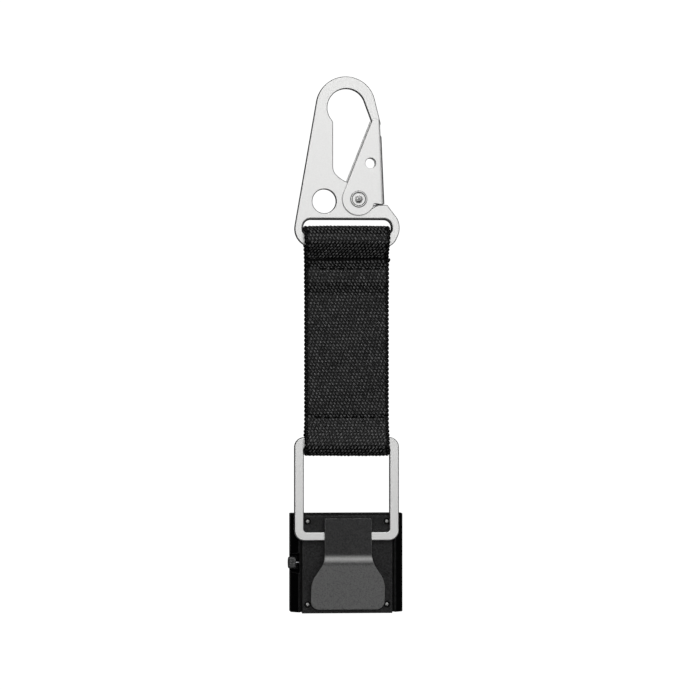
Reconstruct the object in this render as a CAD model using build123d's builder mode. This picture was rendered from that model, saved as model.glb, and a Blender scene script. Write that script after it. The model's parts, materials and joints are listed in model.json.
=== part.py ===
from build123d import *
from math import cos, pi, radians, sin, tan
import os

# Key organiser: a sprung hook, a loop of webbing, a rectangular ring and a clip-on watch.
# Millimetres. +X is to the right and +Z is up when the clip on the watch's back faces the viewer,
# and -Y points at that viewer. The origin is the top of the hook's eye, the point it hangs from.

# --- Webbing strap, the part everything else is sized by ---
STRAP_WIDTH = 24.5
STRAP_T = 1.3
STRAP_TOP = -39.4
STRAP_BOTTOM = -106.0
LAYER_GAP = 0.05
SEAM_Z = -49.0
TAIL_END_Z = -55.0
STITCH_LENGTH = 1.75
STITCH_PITCH = 2.6
STITCH_WIDTH = 0.4
STITCH_HEIGHT = 0.25
STITCH_ROW_X = 0.9
UPPER_ROW_Z = -51.9
LOWER_ROW_Z = -94.7
UPPER_STITCHES = 7
LOWER_STITCHES = 8

# --- Hook plate ---
HOOK_T = 2.8
EYE_R = 5.5
EYE_X = -0.12
EYE_Z = -EYE_R
TOP_ARC_R = 8.61
TOP_ARC_X = -0.27
TOP_ARC_Z = -5.06
LEFT_SLOPE = 9.87
LEFT_FOOT_Z = -39.5
NOSE_INNER_SLOPE = 20.2
NOSE_OUTER_SLOPE = 13.08
NOSE_END_Z = -10.6
SHOULDER_Z = -33.45
LOBE_R = 4.53
SLOT_TOP = -37.85
SLOT_HALF = 12.7
BAR_TOP = -41.4
BAR_BOTTOM = -45.8
BAR_LIP = 0.55
SLOT_LIP = 0.45
SLOT_X = 0.13
SLOT_TOP_CORNER = 2.1
SLOT_LOW_CORNER = 0.8
TOOL_HOLE_R = 3.43
TOOL_HOLE_AT = (-6.52, -32.45)

# --- Gate of the hook ---
PIVOT_X = 3.35
PIVOT_Z = -31.84
GATE_SHEET = 0.8
GATE_GAP = 0.12
GATE_LOBE_R = 4.73
RIVET_R = 1.4
RIVET_HEAD_R = 2.45
RIVET_RUN = 0.05
SPRING_POCKET_R = 2.9
SPRING_POCKET_DEPTH = 1.5
SPRING_WIRE = 0.45
SPRING_TURNS = 3
GATE_TIP = (8.25, -9.85)
GATE_TIP_R = 1.25
SPINE_TOP = -13.9
SPINE_TOP_X = 10.0
SPINE_FOOT = -33.15
SPINE_FOOT_X = 10.85
SPINE_BEND_R = 0.75
THROAT_LEAN = 21.5
NOTCH_LEAN = 33
FAR_CHEEK_EXTRA = 0.3
GATE_HOLE_AT = (6.79, -21.5)
GATE_HOLE_R = 1.5
HEAD_T = 0.45
HEAD_RECESS_R = 1.85
HEAD_CORE_R = 1.0

# --- Rectangular ring ---
RING_HALF = 15.15
RING_TOP = -100.5
RING_BOTTOM = -130.4
RING_SIDE = 2.75
RING_TOP_BAR = 2.9
RING_LOW_BAR = 2.6
RING_T = 2.0
RING_CORNER = 2.9
RING_INNER_CORNER = 0.8
RING_ROUND = 0.35

# --- Watch, measured about its own middle, which hangs a little right of the ring's ---
WATCH_Z = -136.9
WATCH_X = 0.35
CASE_HALF = 16.3
CASE_TOP = -122.65
CASE_BOTTOM = -151.15
CASE_RIDGE_Y = 1.4
CASE_FRONT_Y = 9.6
PLATE_Y = 1.15
PLATE_T = 1.4
PLATE_HALF = 13.1
PLATE_TOP = -123.1
PLATE_BOTTOM = -151.45
PLATE_IN_Y = PLATE_Y + PLATE_T
RIDGE_IN = 13.6
SCREW_X = 11.5
SCREW_Z = 12.0
SCREW_HEAD_R = 0.65
SCREW_THREAD_R = 0.45
COUNTERBORE_R = 1.05
COUNTERBORE_DEPTH = 0.6
SCALLOP_TOP_HALF = 2.0
SCALLOP_LOW_HALF = 3.1
SCALLOP_FLOOR_X = -13.9
CAVITY_HALF = 11.0
CAVITY_CORNER = 6.5
DIAL_Y = 7.45
DIAL_T = 0.4
DIAL_HALF = 11.6
CRYSTAL_HALF = 12.4
CRYSTAL_Y = 9.25
CRYSTAL_T = 1.0

# --- Crown and stem ---
CROWN_AXIS_Y = 5.0
CROWN_RADIUS = 1.65
CROWN_OUT_X = -16.95
CROWN_IN_X = -14.7
CROWN_FLUTES = 20
FLUTE_R = 0.13
STEM_R = 0.45

# --- Clip ---
CLIP_T = 0.8
CLIP_IN_Y = -1.15
CLIP_TOP = -123.9
CLIP_BOTTOM = -150.3
CLIP_NECK = 6.8
CLIP_PADDLE = 10.65
CLIP_JOG = 1.6
CLIP_END_Y = 0.75
BLOCK_BOTTOM = -127.6
JOG_TOP = -134.3
JOG_BOTTOM = -136.6
PADDLE_TOP = -144.4
PADDLE_CORNER = 2.4
NECK_CORNER = 0.8

# --- Gears under the dial ---
GEAR_T = 0.35
GEAR_CLEAR = 0.09
CANNON_TEETH = 12
WHEEL_TEETH = 36
PINION_TEETH = 10
HOUR_TEETH = 40
FIRST_MODULE = 0.15
GEAR_CENTRES = FIRST_MODULE * (CANNON_TEETH + WHEEL_TEETH) / 2
SECOND_MODULE = 2 * GEAR_CENTRES / (PINION_TEETH + HOUR_TEETH)


def facing(y):
    """Plane parallel to the watch's back at depth y: local x is X, local y is Z, and its normal is -Y."""
    return Plane.XZ.offset(-y)


def save(name, piece):
    """Labels a finished piece and writes it as its own STEP file."""
    piece.part.label = name
    export_step(piece.part, f"parts/{name}.step")


def save_watch(name, piece):
    """Moves a piece of the watch to where the watch hangs on the ring and saves it."""
    placed = piece.part.moved(Location((WATCH_X, 0, 0)))
    placed.label = name
    export_step(placed, f"parts/{name}.step")


def slope_x(z, centre_x, centre_z, radius, degrees):
    """X at height z of the line that touches a circle on its right and leans outwards going down."""
    lean = radians(degrees)
    return centre_x + (radius - (z - centre_z) * sin(lean)) / cos(lean)


def on_circle(centre, radius, degrees):
    """Point of a circle at an angle, counted anticlockwise from its right."""
    return (centre[0] + radius * cos(radians(degrees)), centre[1] + radius * sin(radians(degrees)))


os.makedirs("parts", exist_ok=True)

# =====================================================================
# Hook plate: eye, nose, throat, tool hole and the slot that holds the strap
# =====================================================================
left_lean = radians(LEFT_SLOPE)
nose_lean = radians(NOSE_OUTER_SLOPE)
left_start = (TOP_ARC_X - TOP_ARC_R * cos(left_lean), TOP_ARC_Z + TOP_ARC_R * sin(left_lean))
nose_start = (TOP_ARC_X + TOP_ARC_R * cos(nose_lean), TOP_ARC_Z + TOP_ARC_R * sin(nose_lean))
left_foot = (left_start[0] - (left_start[1] - LEFT_FOOT_Z) * tan(left_lean), LEFT_FOOT_Z)
nose_out_x = slope_x(NOSE_END_Z, TOP_ARC_X, TOP_ARC_Z, TOP_ARC_R, NOSE_OUTER_SLOPE)
nose_in_x = slope_x(NOSE_END_Z, EYE_X, EYE_Z, EYE_R, NOSE_INNER_SLOPE)

eye_centre = (EYE_X, EYE_Z)
pivot = (PIVOT_X, PIVOT_Z)
throat_foot = (on_circle(eye_centre, EYE_R, 225.4)[0], -22.4)

with BuildSketch() as strap_slot:
    with Locations((SLOT_X, (SLOT_TOP + BAR_TOP) / 2)):
        Rectangle(2 * SLOT_HALF, SLOT_TOP - BAR_TOP)
    fillet(strap_slot.vertices().group_by(Axis.Y)[-1], SLOT_TOP_CORNER)
    fillet(strap_slot.vertices().group_by(Axis.Y)[0], SLOT_LOW_CORNER)

with BuildPart() as hook_plate:
    with BuildSketch(facing(0)):
        with BuildLine():
            # Outside, clockwise from the left flank to the nose's end.
            Line(left_foot, left_start)
            ThreePointArc(left_start, (TOP_ARC_X, TOP_ARC_Z + TOP_ARC_R), nose_start)
            Polyline(
                nose_start,
                (nose_out_x, NOSE_END_Z + 0.4),
                (nose_out_x - 0.4, NOSE_END_Z),
                (nose_in_x, NOSE_END_Z),
                on_circle(eye_centre, EYE_R, NOSE_INNER_SLOPE),
            )
            # Eye, throat and the floor of the throat.
            ThreePointArc(
                on_circle(eye_centre, EYE_R, NOSE_INNER_SLOPE),
                on_circle(eye_centre, EYE_R, 120),
                on_circle(eye_centre, EYE_R, 225.4),
            )
            Line(on_circle(eye_centre, EYE_R, 225.4), throat_foot)
            Spline(throat_foot, (-2.4, -25.4), (0.1, -26.9), tangents=((0, -1), (1, -0.35)))
            Line((0.1, -26.9), on_circle(pivot, LOBE_R, 100))
            # Lobe under the gate, then the shoulder that stops the gate.
            ThreePointArc(
                on_circle(pivot, LOBE_R, 100),
                on_circle(pivot, LOBE_R, 30),
                on_circle(pivot, LOBE_R, -38),
            )
            Polyline(on_circle(pivot, LOBE_R, -38), (9.2, SHOULDER_Z), (11.7, SHOULDER_Z), (14.6, -37.3))
            ThreePointArc((14.6, -37.3), (15.3, -40.2), (14.6, -42.9))
            ThreePointArc((14.6, -42.9), (12.9, -45.1), (10.4, BAR_BOTTOM))
            Line((10.4, BAR_BOTTOM), (-10.0, BAR_BOTTOM))
            ThreePointArc((-10.0, BAR_BOTTOM), (-13.5, -44.2), left_foot)
        make_face()
        with Locations(TOOL_HOLE_AT):
            Circle(TOOL_HOLE_R, mode=Mode.SUBTRACT)
        add(strap_slot.sketch, mode=Mode.SUBTRACT)
        with Locations(pivot):
            Circle(RIVET_R + RIVET_RUN, mode=Mode.SUBTRACT)
    extrude(amount=HOOK_T / 2, both=True)
    # Pocket for the gate's spring, sunk from the far face, with its leg's slot towards the spine.
    with BuildSketch(facing(HOOK_T / 2)):
        with Locations((PIVOT_X, PIVOT_Z)):
            Circle(SPRING_POCKET_R)
        with Locations((PIVOT_X + 3, PIVOT_Z + 1.6)):
            Rectangle(6, 4.4)
    extrude(amount=SPRING_POCKET_DEPTH, mode=Mode.SUBTRACT)
    # Rounded lips where the strap bears on the bar.
    lips = hook_plate.edges().filter_by(lambda edge: abs(abs(edge.center().Y) - HOOK_T / 2) < 0.01)
    bar_lips = lips.filter_by_position(Axis.Z, BAR_TOP - 0.1, BAR_TOP + 0.1)
    chamfer(bar_lips.filter_by(lambda edge: edge.length > SLOT_HALF), SLOT_LIP)
    with BuildSketch(Plane.YZ):
        for side in (-1, 1):
            with BuildLine():
                Polyline(
                    (side * (HOOK_T / 2 + 1), BAR_BOTTOM + BAR_LIP + 1),
                    (side * (HOOK_T / 2 + 1), BAR_BOTTOM - 1),
                    (side * (HOOK_T / 2 - BAR_LIP - 1), BAR_BOTTOM - 1),
                    close=True,
                )
            make_face()
    extrude(amount=SLOT_HALF, both=True, mode=Mode.SUBTRACT)
save("hook_plate", hook_plate)

# =====================================================================
# Gate: one folded sheet, two cheeks either side of the plate joined by a spine
# =====================================================================
cheek_in = HOOK_T / 2 + GATE_GAP
cheek_out = cheek_in + GATE_SHEET


def cheek_outline(extra):
    """Sketch of one cheek, standing out by extra on the throat side."""
    lean = radians(THROAT_LEAN)
    tip_x, tip_z = GATE_TIP
    reach = GATE_TIP_R + extra
    top = (tip_x - reach * cos(lean), tip_z + 0.4 * reach * sin(lean))
    foot = (PIVOT_X - (GATE_LOBE_R + extra) * cos(lean), PIVOT_Z + GATE_LOBE_R * sin(lean))
    notch = on_circle(pivot, GATE_LOBE_R, -NOTCH_LEAN)
    lowest = (PIVOT_X, PIVOT_Z - GATE_LOBE_R)
    with BuildSketch() as outline:
        with BuildLine():
            ThreePointArc(top, (tip_x, tip_z + GATE_TIP_R), (tip_x + GATE_TIP_R, tip_z))
            Polyline(
                (tip_x + GATE_TIP_R, tip_z),
                (9.7, SPINE_TOP + 0.5),
                (SPINE_TOP_X, SPINE_TOP),
                (SPINE_FOOT_X, SPINE_FOOT),
                (7.8, SPINE_FOOT),
                notch,
            )
            ThreePointArc(notch, lowest, foot)
            Line(foot, top)
        make_face()
    return outline.sketch


with BuildPart() as gate:
    with BuildSketch(facing(-cheek_in)):
        add(cheek_outline(0))
    extrude(amount=GATE_SHEET)
    with BuildSketch(facing(cheek_in)):
        add(cheek_outline(FAR_CHEEK_EXTRA))
    extrude(amount=-GATE_SHEET)
    with BuildSketch(facing(0)):
        with BuildLine():
            Polyline(
                (SPINE_TOP_X, SPINE_TOP),
                (SPINE_FOOT_X, SPINE_FOOT),
                (SPINE_FOOT_X - GATE_SHEET, SPINE_FOOT),
                (SPINE_TOP_X - GATE_SHEET, SPINE_TOP),
                close=True,
            )
        make_face()
    extrude(amount=cheek_in, both=True)
    with BuildSketch(facing(0)):
        with Locations((PIVOT_X, PIVOT_Z)):
            Circle(RIVET_R + RIVET_RUN)
        with Locations(GATE_HOLE_AT):
            Circle(GATE_HOLE_R)
    extrude(amount=cheek_out + 1, both=True, mode=Mode.SUBTRACT)
    bend = gate.edges().filter_by(lambda edge: edge.length > 15 and edge.center().X > SPINE_TOP_X)
    fillet(bend.filter_by(lambda edge: abs(abs(edge.center().Y) - cheek_out) < 0.01), SPINE_BEND_R)
save("gate", gate)

with BuildPart() as gate_rivet:
    with BuildSketch(facing(0)):
        with Locations((PIVOT_X, PIVOT_Z)):
            Circle(RIVET_R)
    extrude(amount=cheek_out + 0.05, both=True)
    for side in (-1, 1):
        with BuildSketch(facing(side * (cheek_out + 0.05))):
            with Locations((PIVOT_X, PIVOT_Z)):
                Circle(RIVET_HEAD_R)
        extrude(amount=-side * HEAD_T)
    # The near head is rolled over a hollow: a ring with a domed core in its recess.
    with BuildSketch(facing(-cheek_out - 0.5)):
        with Locations((PIVOT_X, PIVOT_Z)):
            Circle(HEAD_RECESS_R)
            Circle(HEAD_CORE_R, mode=Mode.SUBTRACT)
    extrude(amount=-0.35, mode=Mode.SUBTRACT)
save("gate_rivet", gate_rivet)

# Torsion spring: three turns round the rivet in the plate's pocket, one leg out to the gate's spine.
SPRING_MID_R = RIVET_R + 0.55
with BuildPart() as gate_spring:
    for turn in range(SPRING_TURNS):
        with BuildSketch(Plane.XY.offset(PIVOT_Z)):
            with Locations((PIVOT_X + SPRING_MID_R, 0.15 + turn * SPRING_WIRE)):
                Circle(SPRING_WIRE / 2 + 0.001)
        pivot_axis = Axis((PIVOT_X, 0, PIVOT_Z), (0, 1, 0))
        revolve(axis=pivot_axis)
    with BuildSketch(Plane.YZ.offset(PIVOT_X)):
        with Locations((0.15 + SPRING_WIRE, PIVOT_Z + SPRING_MID_R)):
            Circle(SPRING_WIRE / 2)
    extrude(amount=6.2)
save("gate_spring", gate_spring)

# =====================================================================
# Webbing strap: one piece, from the seam in front, down round the ring,
# up the back, over the hook's bar and down under its own first end
# =====================================================================
layer = STRAP_T + LAYER_GAP
mid_top = STRAP_TOP - STRAP_T / 2
mid_bottom = STRAP_BOTTOM + STRAP_T / 2
TOP_LOOP = 3.25
LOW_LOOP = 2.75
with BuildPart() as webbing_strap:
    with BuildSketch(Plane.YZ):
        with BuildLine() as strap_route:
            FilletPolyline(
                (-layer - 0.55, SEAM_Z),
                (-layer, SEAM_Z - 2),
                (-layer, TAIL_END_Z - 0.8),
                (-layer / 2, TAIL_END_Z - 4),
                (-layer / 2, LOWER_ROW_Z - 1.8),
                (-LOW_LOOP, STRAP_BOTTOM + 4),
                (-LOW_LOOP, mid_bottom),
                (LOW_LOOP, mid_bottom),
                (LOW_LOOP, STRAP_BOTTOM + 4),
                (layer / 2, LOWER_ROW_Z - 1.8),
                (layer / 2, TAIL_END_Z - 4),
                (layer, TAIL_END_Z - 0.8),
                (layer, SEAM_Z - 1.5),
                (TOP_LOOP, STRAP_TOP - 4.6),
                (TOP_LOOP, mid_top),
                (-TOP_LOOP, mid_top),
                (-TOP_LOOP, STRAP_TOP - 5.2),
                (0, SEAM_Z - 0.4),
                (0, TAIL_END_Z),
                radius=(3, 4, 4, 4, 3, 2.7, 2.7, 3, 4, 4, 4, 4, 3, 3.2, 3.2, 3, 1.6),
            )
        trace(strap_route.line, line_width=STRAP_T)
    extrude(amount=STRAP_WIDTH / 2, both=True)
save("webbing_strap", webbing_strap)

front_upper = -layer - STRAP_T / 2
front_lower = -layer / 2 - STRAP_T / 2


def stitch_row(z, count):
    """Sketch of one row of stitches, as long as each thread shows on the strap's face."""
    with BuildSketch() as row:
        with Locations((STITCH_ROW_X, z)):
            with GridLocations(STITCH_PITCH, 1, count, 1):
                SlotOverall(STITCH_LENGTH, STITCH_WIDTH)
    return row.sketch


with BuildPart() as upper_stitching:
    with BuildSketch(facing(front_upper)):
        add(stitch_row(UPPER_ROW_Z, UPPER_STITCHES))
    extrude(amount=STITCH_HEIGHT)
    with BuildSketch(facing(-front_upper)):
        add(stitch_row(UPPER_ROW_Z, UPPER_STITCHES))
    extrude(amount=-STITCH_HEIGHT)
save("upper_stitching", upper_stitching)

with BuildPart() as lower_stitching:
    with BuildSketch(facing(front_lower)):
        add(stitch_row(LOWER_ROW_Z, LOWER_STITCHES))
    extrude(amount=STITCH_HEIGHT)
    with BuildSketch(facing(-front_lower)):
        add(stitch_row(LOWER_ROW_Z, LOWER_STITCHES))
    extrude(amount=-STITCH_HEIGHT)
save("lower_stitching", lower_stitching)

# =====================================================================
# Rectangular ring
# =====================================================================
with BuildPart() as rectangular_ring:
    with BuildSketch(facing(0)):
        with Locations((0, (RING_TOP + RING_BOTTOM) / 2)):
            RectangleRounded(2 * RING_HALF, RING_TOP - RING_BOTTOM, RING_CORNER)
        inner_top = RING_TOP - RING_TOP_BAR
        inner_bottom = RING_BOTTOM + RING_LOW_BAR
        with Locations((0, (inner_top + inner_bottom) / 2)):
            RectangleRounded(
                2 * (RING_HALF - RING_SIDE),
                inner_top - inner_bottom,
                RING_INNER_CORNER,
                mode=Mode.SUBTRACT,
            )
    extrude(amount=RING_T / 2, both=True)
    rim = rectangular_ring.edges().filter_by(Axis.Y, reverse=True)
    fillet(rim, RING_ROUND)
save("rectangular_ring", rectangular_ring)

# =====================================================================
# Watch case: a frame with bevelled shoulders and a channel for the back plate
# =====================================================================
case_height = CASE_TOP - CASE_BOTTOM

with BuildPart() as case:
    with BuildSketch(Plane.XY.offset(CASE_BOTTOM)):
        with BuildLine():
            Polyline(
                (0, PLATE_IN_Y),
                (RIDGE_IN, PLATE_IN_Y),
                (RIDGE_IN, CASE_RIDGE_Y),
                (14.1, CASE_RIDGE_Y),
                (15.8, 3.1),
                (CASE_HALF, 3.9),
                (CASE_HALF, CASE_FRONT_Y - 0.6),
                (CASE_HALF - 0.6, CASE_FRONT_Y),
                (0, CASE_FRONT_Y),
            )
            mirror(about=Plane.YZ)
        make_face()
    extrude(amount=case_height)
    # Room for the movement, and above it the wider seats of the dial and the crystal.
    with BuildSketch(facing(PLATE_IN_Y)):
        with Locations((0, WATCH_Z)):
            RectangleRounded(2 * CAVITY_HALF, 2 * CAVITY_HALF, CAVITY_CORNER)
    extrude(amount=-8, mode=Mode.SUBTRACT)
    with BuildSketch(facing(DIAL_Y)):
        with Locations((0, WATCH_Z)):
            RectangleRounded(2 * DIAL_HALF + 0.2, 2 * DIAL_HALF + 0.2, 1.6)
    extrude(amount=-3, mode=Mode.SUBTRACT)
    with BuildSketch(facing(CRYSTAL_Y - 0.65)):
        with Locations((0, WATCH_Z)):
            RectangleRounded(2 * CRYSTAL_HALF + 0.8, 2 * CRYSTAL_HALF + 0.8, 2.2)
    extrude(amount=-3, mode=Mode.SUBTRACT)
    # Groove for the back gasket.
    with BuildSketch(facing(PLATE_IN_Y)):
        with Locations((0, WATCH_Z)):
            RectangleRounded(2 * CAVITY_HALF + 1.6, 2 * CAVITY_HALF + 1.6, CAVITY_CORNER + 0.8)
    extrude(amount=-0.45, mode=Mode.SUBTRACT)
    # Scallop that bares the crown for a fingernail.
    with BuildSketch(Plane.YZ.offset(-CASE_HALF - 1)):
        with BuildLine():
            Polyline(
                (0, WATCH_Z - SCALLOP_LOW_HALF),
                (CROWN_AXIS_Y + 2.1, WATCH_Z - SCALLOP_TOP_HALF),
                (CROWN_AXIS_Y + 2.1, WATCH_Z + SCALLOP_TOP_HALF),
                (0, WATCH_Z + SCALLOP_LOW_HALF),
                close=True,
            )
        make_face()
    extrude(amount=CASE_HALF + 1 + SCALLOP_FLOOR_X, mode=Mode.SUBTRACT)
    with BuildSketch(Plane.YZ.offset(-CASE_HALF)):
        with Locations((CROWN_AXIS_Y, WATCH_Z)):
            Circle(0.95)
    extrude(amount=6, mode=Mode.SUBTRACT)
    # Tapped holes for the four back screws.
    with BuildSketch(facing(PLATE_IN_Y)):
        with Locations((0, WATCH_Z)):
            with GridLocations(2 * SCREW_X, 2 * SCREW_Z, 2, 2):
                Circle(SCREW_THREAD_R)
    extrude(amount=-3, mode=Mode.SUBTRACT)
save_watch("case", case)

with BuildPart() as back_plate:
    with BuildSketch(facing(PLATE_Y)):
        with Locations((0, (PLATE_TOP + PLATE_BOTTOM) / 2)):
            Rectangle(2 * PLATE_HALF, PLATE_TOP - PLATE_BOTTOM)
    extrude(amount=-PLATE_T)
    rim = back_plate.faces().sort_by(Axis.Y)[0].edges()
    chamfer(rim, 0.2)
    with BuildSketch(facing(PLATE_Y)):
        with Locations((0, WATCH_Z)):
            with GridLocations(2 * SCREW_X, 2 * SCREW_Z, 2, 2):
                Circle(0.5)
    extrude(amount=-PLATE_T, mode=Mode.SUBTRACT)
    with BuildSketch(facing(PLATE_Y)):
        with Locations((0, WATCH_Z)):
            with GridLocations(2 * SCREW_X, 2 * SCREW_Z, 2, 2):
                Circle(COUNTERBORE_R)
    extrude(amount=-COUNTERBORE_DEPTH, mode=Mode.SUBTRACT)
save_watch("back_plate", back_plate)

with BuildPart() as case_screws:
    with BuildSketch(facing(PLATE_Y + 0.1)):
        with Locations((0, WATCH_Z)):
            with GridLocations(2 * SCREW_X, 2 * SCREW_Z, 2, 2):
                Circle(SCREW_HEAD_R)
    extrude(amount=-0.5)
    with BuildSketch(facing(PLATE_Y + 0.5)):
        with Locations((0, WATCH_Z)):
            with GridLocations(2 * SCREW_X, 2 * SCREW_Z, 2, 2):
                Circle(SCREW_THREAD_R)
    extrude(amount=-3.6)
    with BuildSketch(facing(PLATE_Y + 0.1)):
        with Locations((0, WATCH_Z)):
            with GridLocations(2 * SCREW_X, 2 * SCREW_Z, 2, 2):
                Rectangle(0.9, 0.2)
                Rectangle(0.2, 0.9)
    extrude(amount=-0.25, mode=Mode.SUBTRACT)
save_watch("case_screws", case_screws)

with BuildPart() as back_gasket:
    with BuildSketch(facing(PLATE_IN_Y)):
        with Locations((0, WATCH_Z)):
            RectangleRounded(2 * CAVITY_HALF + 1.4, 2 * CAVITY_HALF + 1.4, CAVITY_CORNER + 0.7)
            RectangleRounded(
                2 * CAVITY_HALF + 0.1,
                2 * CAVITY_HALF + 0.1,
                CAVITY_CORNER + 0.05,
                mode=Mode.SUBTRACT,
            )
    extrude(amount=-0.44)
save_watch("back_gasket", back_gasket)

# =====================================================================
# Clip on the back: a spacer block and a sprung leaf that holds the ring's lower bar
# =====================================================================
with BuildPart() as clip_block:
    with BuildSketch(facing(PLATE_Y)):
        with Locations((0, (CLIP_TOP + BLOCK_BOTTOM) / 2)):
            RectangleRounded(2 * CLIP_NECK, CLIP_TOP - BLOCK_BOTTOM, 0.5)
    extrude(amount=PLATE_Y - CLIP_IN_Y - 0.1)
save_watch("clip_block", clip_block)

clip_mid_y = CLIP_IN_Y - CLIP_T / 2
with BuildPart() as clip:
    with BuildSketch(Plane.YZ):
        with BuildLine() as leaf_route:
            FilletPolyline(
                (clip_mid_y, CLIP_TOP),
                (clip_mid_y, JOG_TOP),
                (clip_mid_y - CLIP_JOG, JOG_BOTTOM),
                (CLIP_END_Y - CLIP_T / 2, CLIP_BOTTOM),
                radius=(1.2, 1.2),
            )
        trace(leaf_route.line, line_width=CLIP_T)
    extrude(amount=CLIP_PADDLE + 1, both=True)
    # Plan outline: straight neck, S-shaped flare and a paddle with round corners.
    with BuildSketch(facing(4)):
        with BuildLine():
            Line((0, CLIP_TOP), (CLIP_NECK - NECK_CORNER, CLIP_TOP))
            RadiusArc((CLIP_NECK - NECK_CORNER, CLIP_TOP), (CLIP_NECK, CLIP_TOP - NECK_CORNER), NECK_CORNER)
            Line((CLIP_NECK, CLIP_TOP - NECK_CORNER), (CLIP_NECK, JOG_TOP))
            Spline(
                (CLIP_NECK, JOG_TOP),
                (8.1, -138.3),
                (CLIP_PADDLE, PADDLE_TOP),
                tangents=((0.02, -1), (0, -1)),
            )
            Line((CLIP_PADDLE, PADDLE_TOP), (CLIP_PADDLE, CLIP_BOTTOM + PADDLE_CORNER))
            paddle_side = (CLIP_PADDLE, CLIP_BOTTOM + PADDLE_CORNER)
            paddle_end = (CLIP_PADDLE - PADDLE_CORNER, CLIP_BOTTOM)
            RadiusArc(paddle_side, paddle_end, PADDLE_CORNER)
            Line((CLIP_PADDLE - PADDLE_CORNER, CLIP_BOTTOM), (0, CLIP_BOTTOM))
            mirror(about=Plane.YZ)
        make_face()
    extrude(amount=12, mode=Mode.INTERSECT)
save_watch("clip", clip)

# =====================================================================
# Crown, stem and their seals
# =====================================================================
crown_plane = Plane(origin=(CROWN_OUT_X, CROWN_AXIS_Y, WATCH_Z), x_dir=(0, 1, 0), z_dir=(1, 0, 0))
with BuildPart() as crown:
    with BuildSketch(crown_plane):
        Circle(CROWN_RADIUS)
        with PolarLocations(CROWN_RADIUS, CROWN_FLUTES):
            Circle(FLUTE_R, mode=Mode.SUBTRACT)
    extrude(amount=CROWN_IN_X - CROWN_OUT_X)
    with BuildSketch(crown_plane.offset(0.3)):
        Circle(0.7)
    extrude(amount=-0.4, mode=Mode.SUBTRACT)
    with BuildSketch(crown_plane.offset(CROWN_IN_X - CROWN_OUT_X)):
        Circle(STEM_R)
    extrude(amount=-1, mode=Mode.SUBTRACT)
save_watch("crown", crown)

with BuildPart() as stem:
    with BuildSketch(crown_plane.offset(CROWN_IN_X - CROWN_OUT_X - 1)):
        Circle(STEM_R)
    extrude(amount=5.6)
    with BuildSketch(crown_plane.offset(CROWN_IN_X - CROWN_OUT_X + 4.6)):
        Rectangle(0.56, 0.56)
    extrude(amount=3.4)
save_watch("stem", stem)

with BuildPart() as crown_tube:
    with BuildSketch(crown_plane.offset(-CROWN_OUT_X - 13.85)):
        Circle(0.94)
        Circle(STEM_R + 0.05, mode=Mode.SUBTRACT)
    extrude(amount=2.3)
save_watch("crown_tube", crown_tube)

with BuildPart() as stem_pinion:
    with BuildSketch(crown_plane.offset(9.2)):
        Circle(0.75)
        Rectangle(0.6, 0.6, mode=Mode.SUBTRACT)
        with PolarLocations(0.75, 12):
            Rectangle(0.12, 0.18, mode=Mode.SUBTRACT)
    extrude(amount=1.1)
save_watch("stem_pinion", stem_pinion)

# =====================================================================
# Movement: plate, holder, battery and its contact, circuit and coil
# =====================================================================
MOVEMENT_Y = 4.1
MOVEMENT_T = 2.0
MOVEMENT_HALF = 8.4
BATTERY_AT = (3.6, WATCH_Z - 3.9)
BATTERY_R = 3.4
COIL_AT = (3.2, WATCH_Z + 5.2)
MINUTE_WHEEL_AT = (0, WATCH_Z - GEAR_CENTRES)

with BuildPart() as movement_plate:
    with BuildSketch(facing(MOVEMENT_Y)):
        with Locations((0, WATCH_Z)):
            RectangleRounded(2 * MOVEMENT_HALF, 2 * MOVEMENT_HALF, 5)
    extrude(amount=-MOVEMENT_T)
    with BuildSketch(facing(MOVEMENT_Y)):
        with Locations(BATTERY_AT):
            Circle(BATTERY_R + 0.1)
    extrude(amount=-1.1, mode=Mode.SUBTRACT)
    # Trench for the stem and its pinion.
    with BuildSketch(Plane.YZ.offset(-MOVEMENT_HALF - 0.1)):
        with Locations((CROWN_AXIS_Y, WATCH_Z)):
            Rectangle(1.8, 1.8)
    extrude(amount=3.6, mode=Mode.SUBTRACT)
    # Centre post that the hands turn on, and the post of the minute wheel.
    with BuildSketch(facing(MOVEMENT_Y + MOVEMENT_T)):
        with Locations((0, WATCH_Z)):
            Circle(0.25)
    extrude(amount=-3.0)
    with BuildSketch(facing(MOVEMENT_Y + MOVEMENT_T)):
        with Locations(MINUTE_WHEEL_AT):
            Circle(0.3)
    extrude(amount=-1.1)
save_watch("movement_plate", movement_plate)

with BuildPart() as movement_holder:
    with BuildSketch(facing(MOVEMENT_Y)):
        with Locations((0, WATCH_Z)):
            RectangleRounded(2 * CAVITY_HALF - 0.1, 2 * CAVITY_HALF - 0.1, CAVITY_CORNER)
            RectangleRounded(2 * MOVEMENT_HALF + 0.1, 2 * MOVEMENT_HALF + 0.1, 5, mode=Mode.SUBTRACT)
    extrude(amount=-3.3)
    with BuildSketch(Plane.YZ.offset(-CAVITY_HALF - 0.1)):
        with Locations((CROWN_AXIS_Y, WATCH_Z)):
            Rectangle(2.2, 2.2)
    extrude(amount=3.4, mode=Mode.SUBTRACT)
save_watch("movement_holder", movement_holder)

with BuildPart() as battery:
    with BuildSketch(facing(3.1)):
        with Locations(BATTERY_AT):
            Circle(BATTERY_R)
    extrude(amount=-2.05)
    rim = battery.edges().filter_by(GeomType.CIRCLE).sort_by(Axis.Y)[0]
    fillet(rim, 0.25)
save_watch("battery", battery)

with BuildPart() as battery_contact:
    with BuildSketch(facing(2.95)):
        with Locations((BATTERY_AT[0] - 1.4, BATTERY_AT[1])):
            SlotOverall(9.4, 1.8)
    extrude(amount=-0.14)
save_watch("battery_contact", battery_contact)

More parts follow.
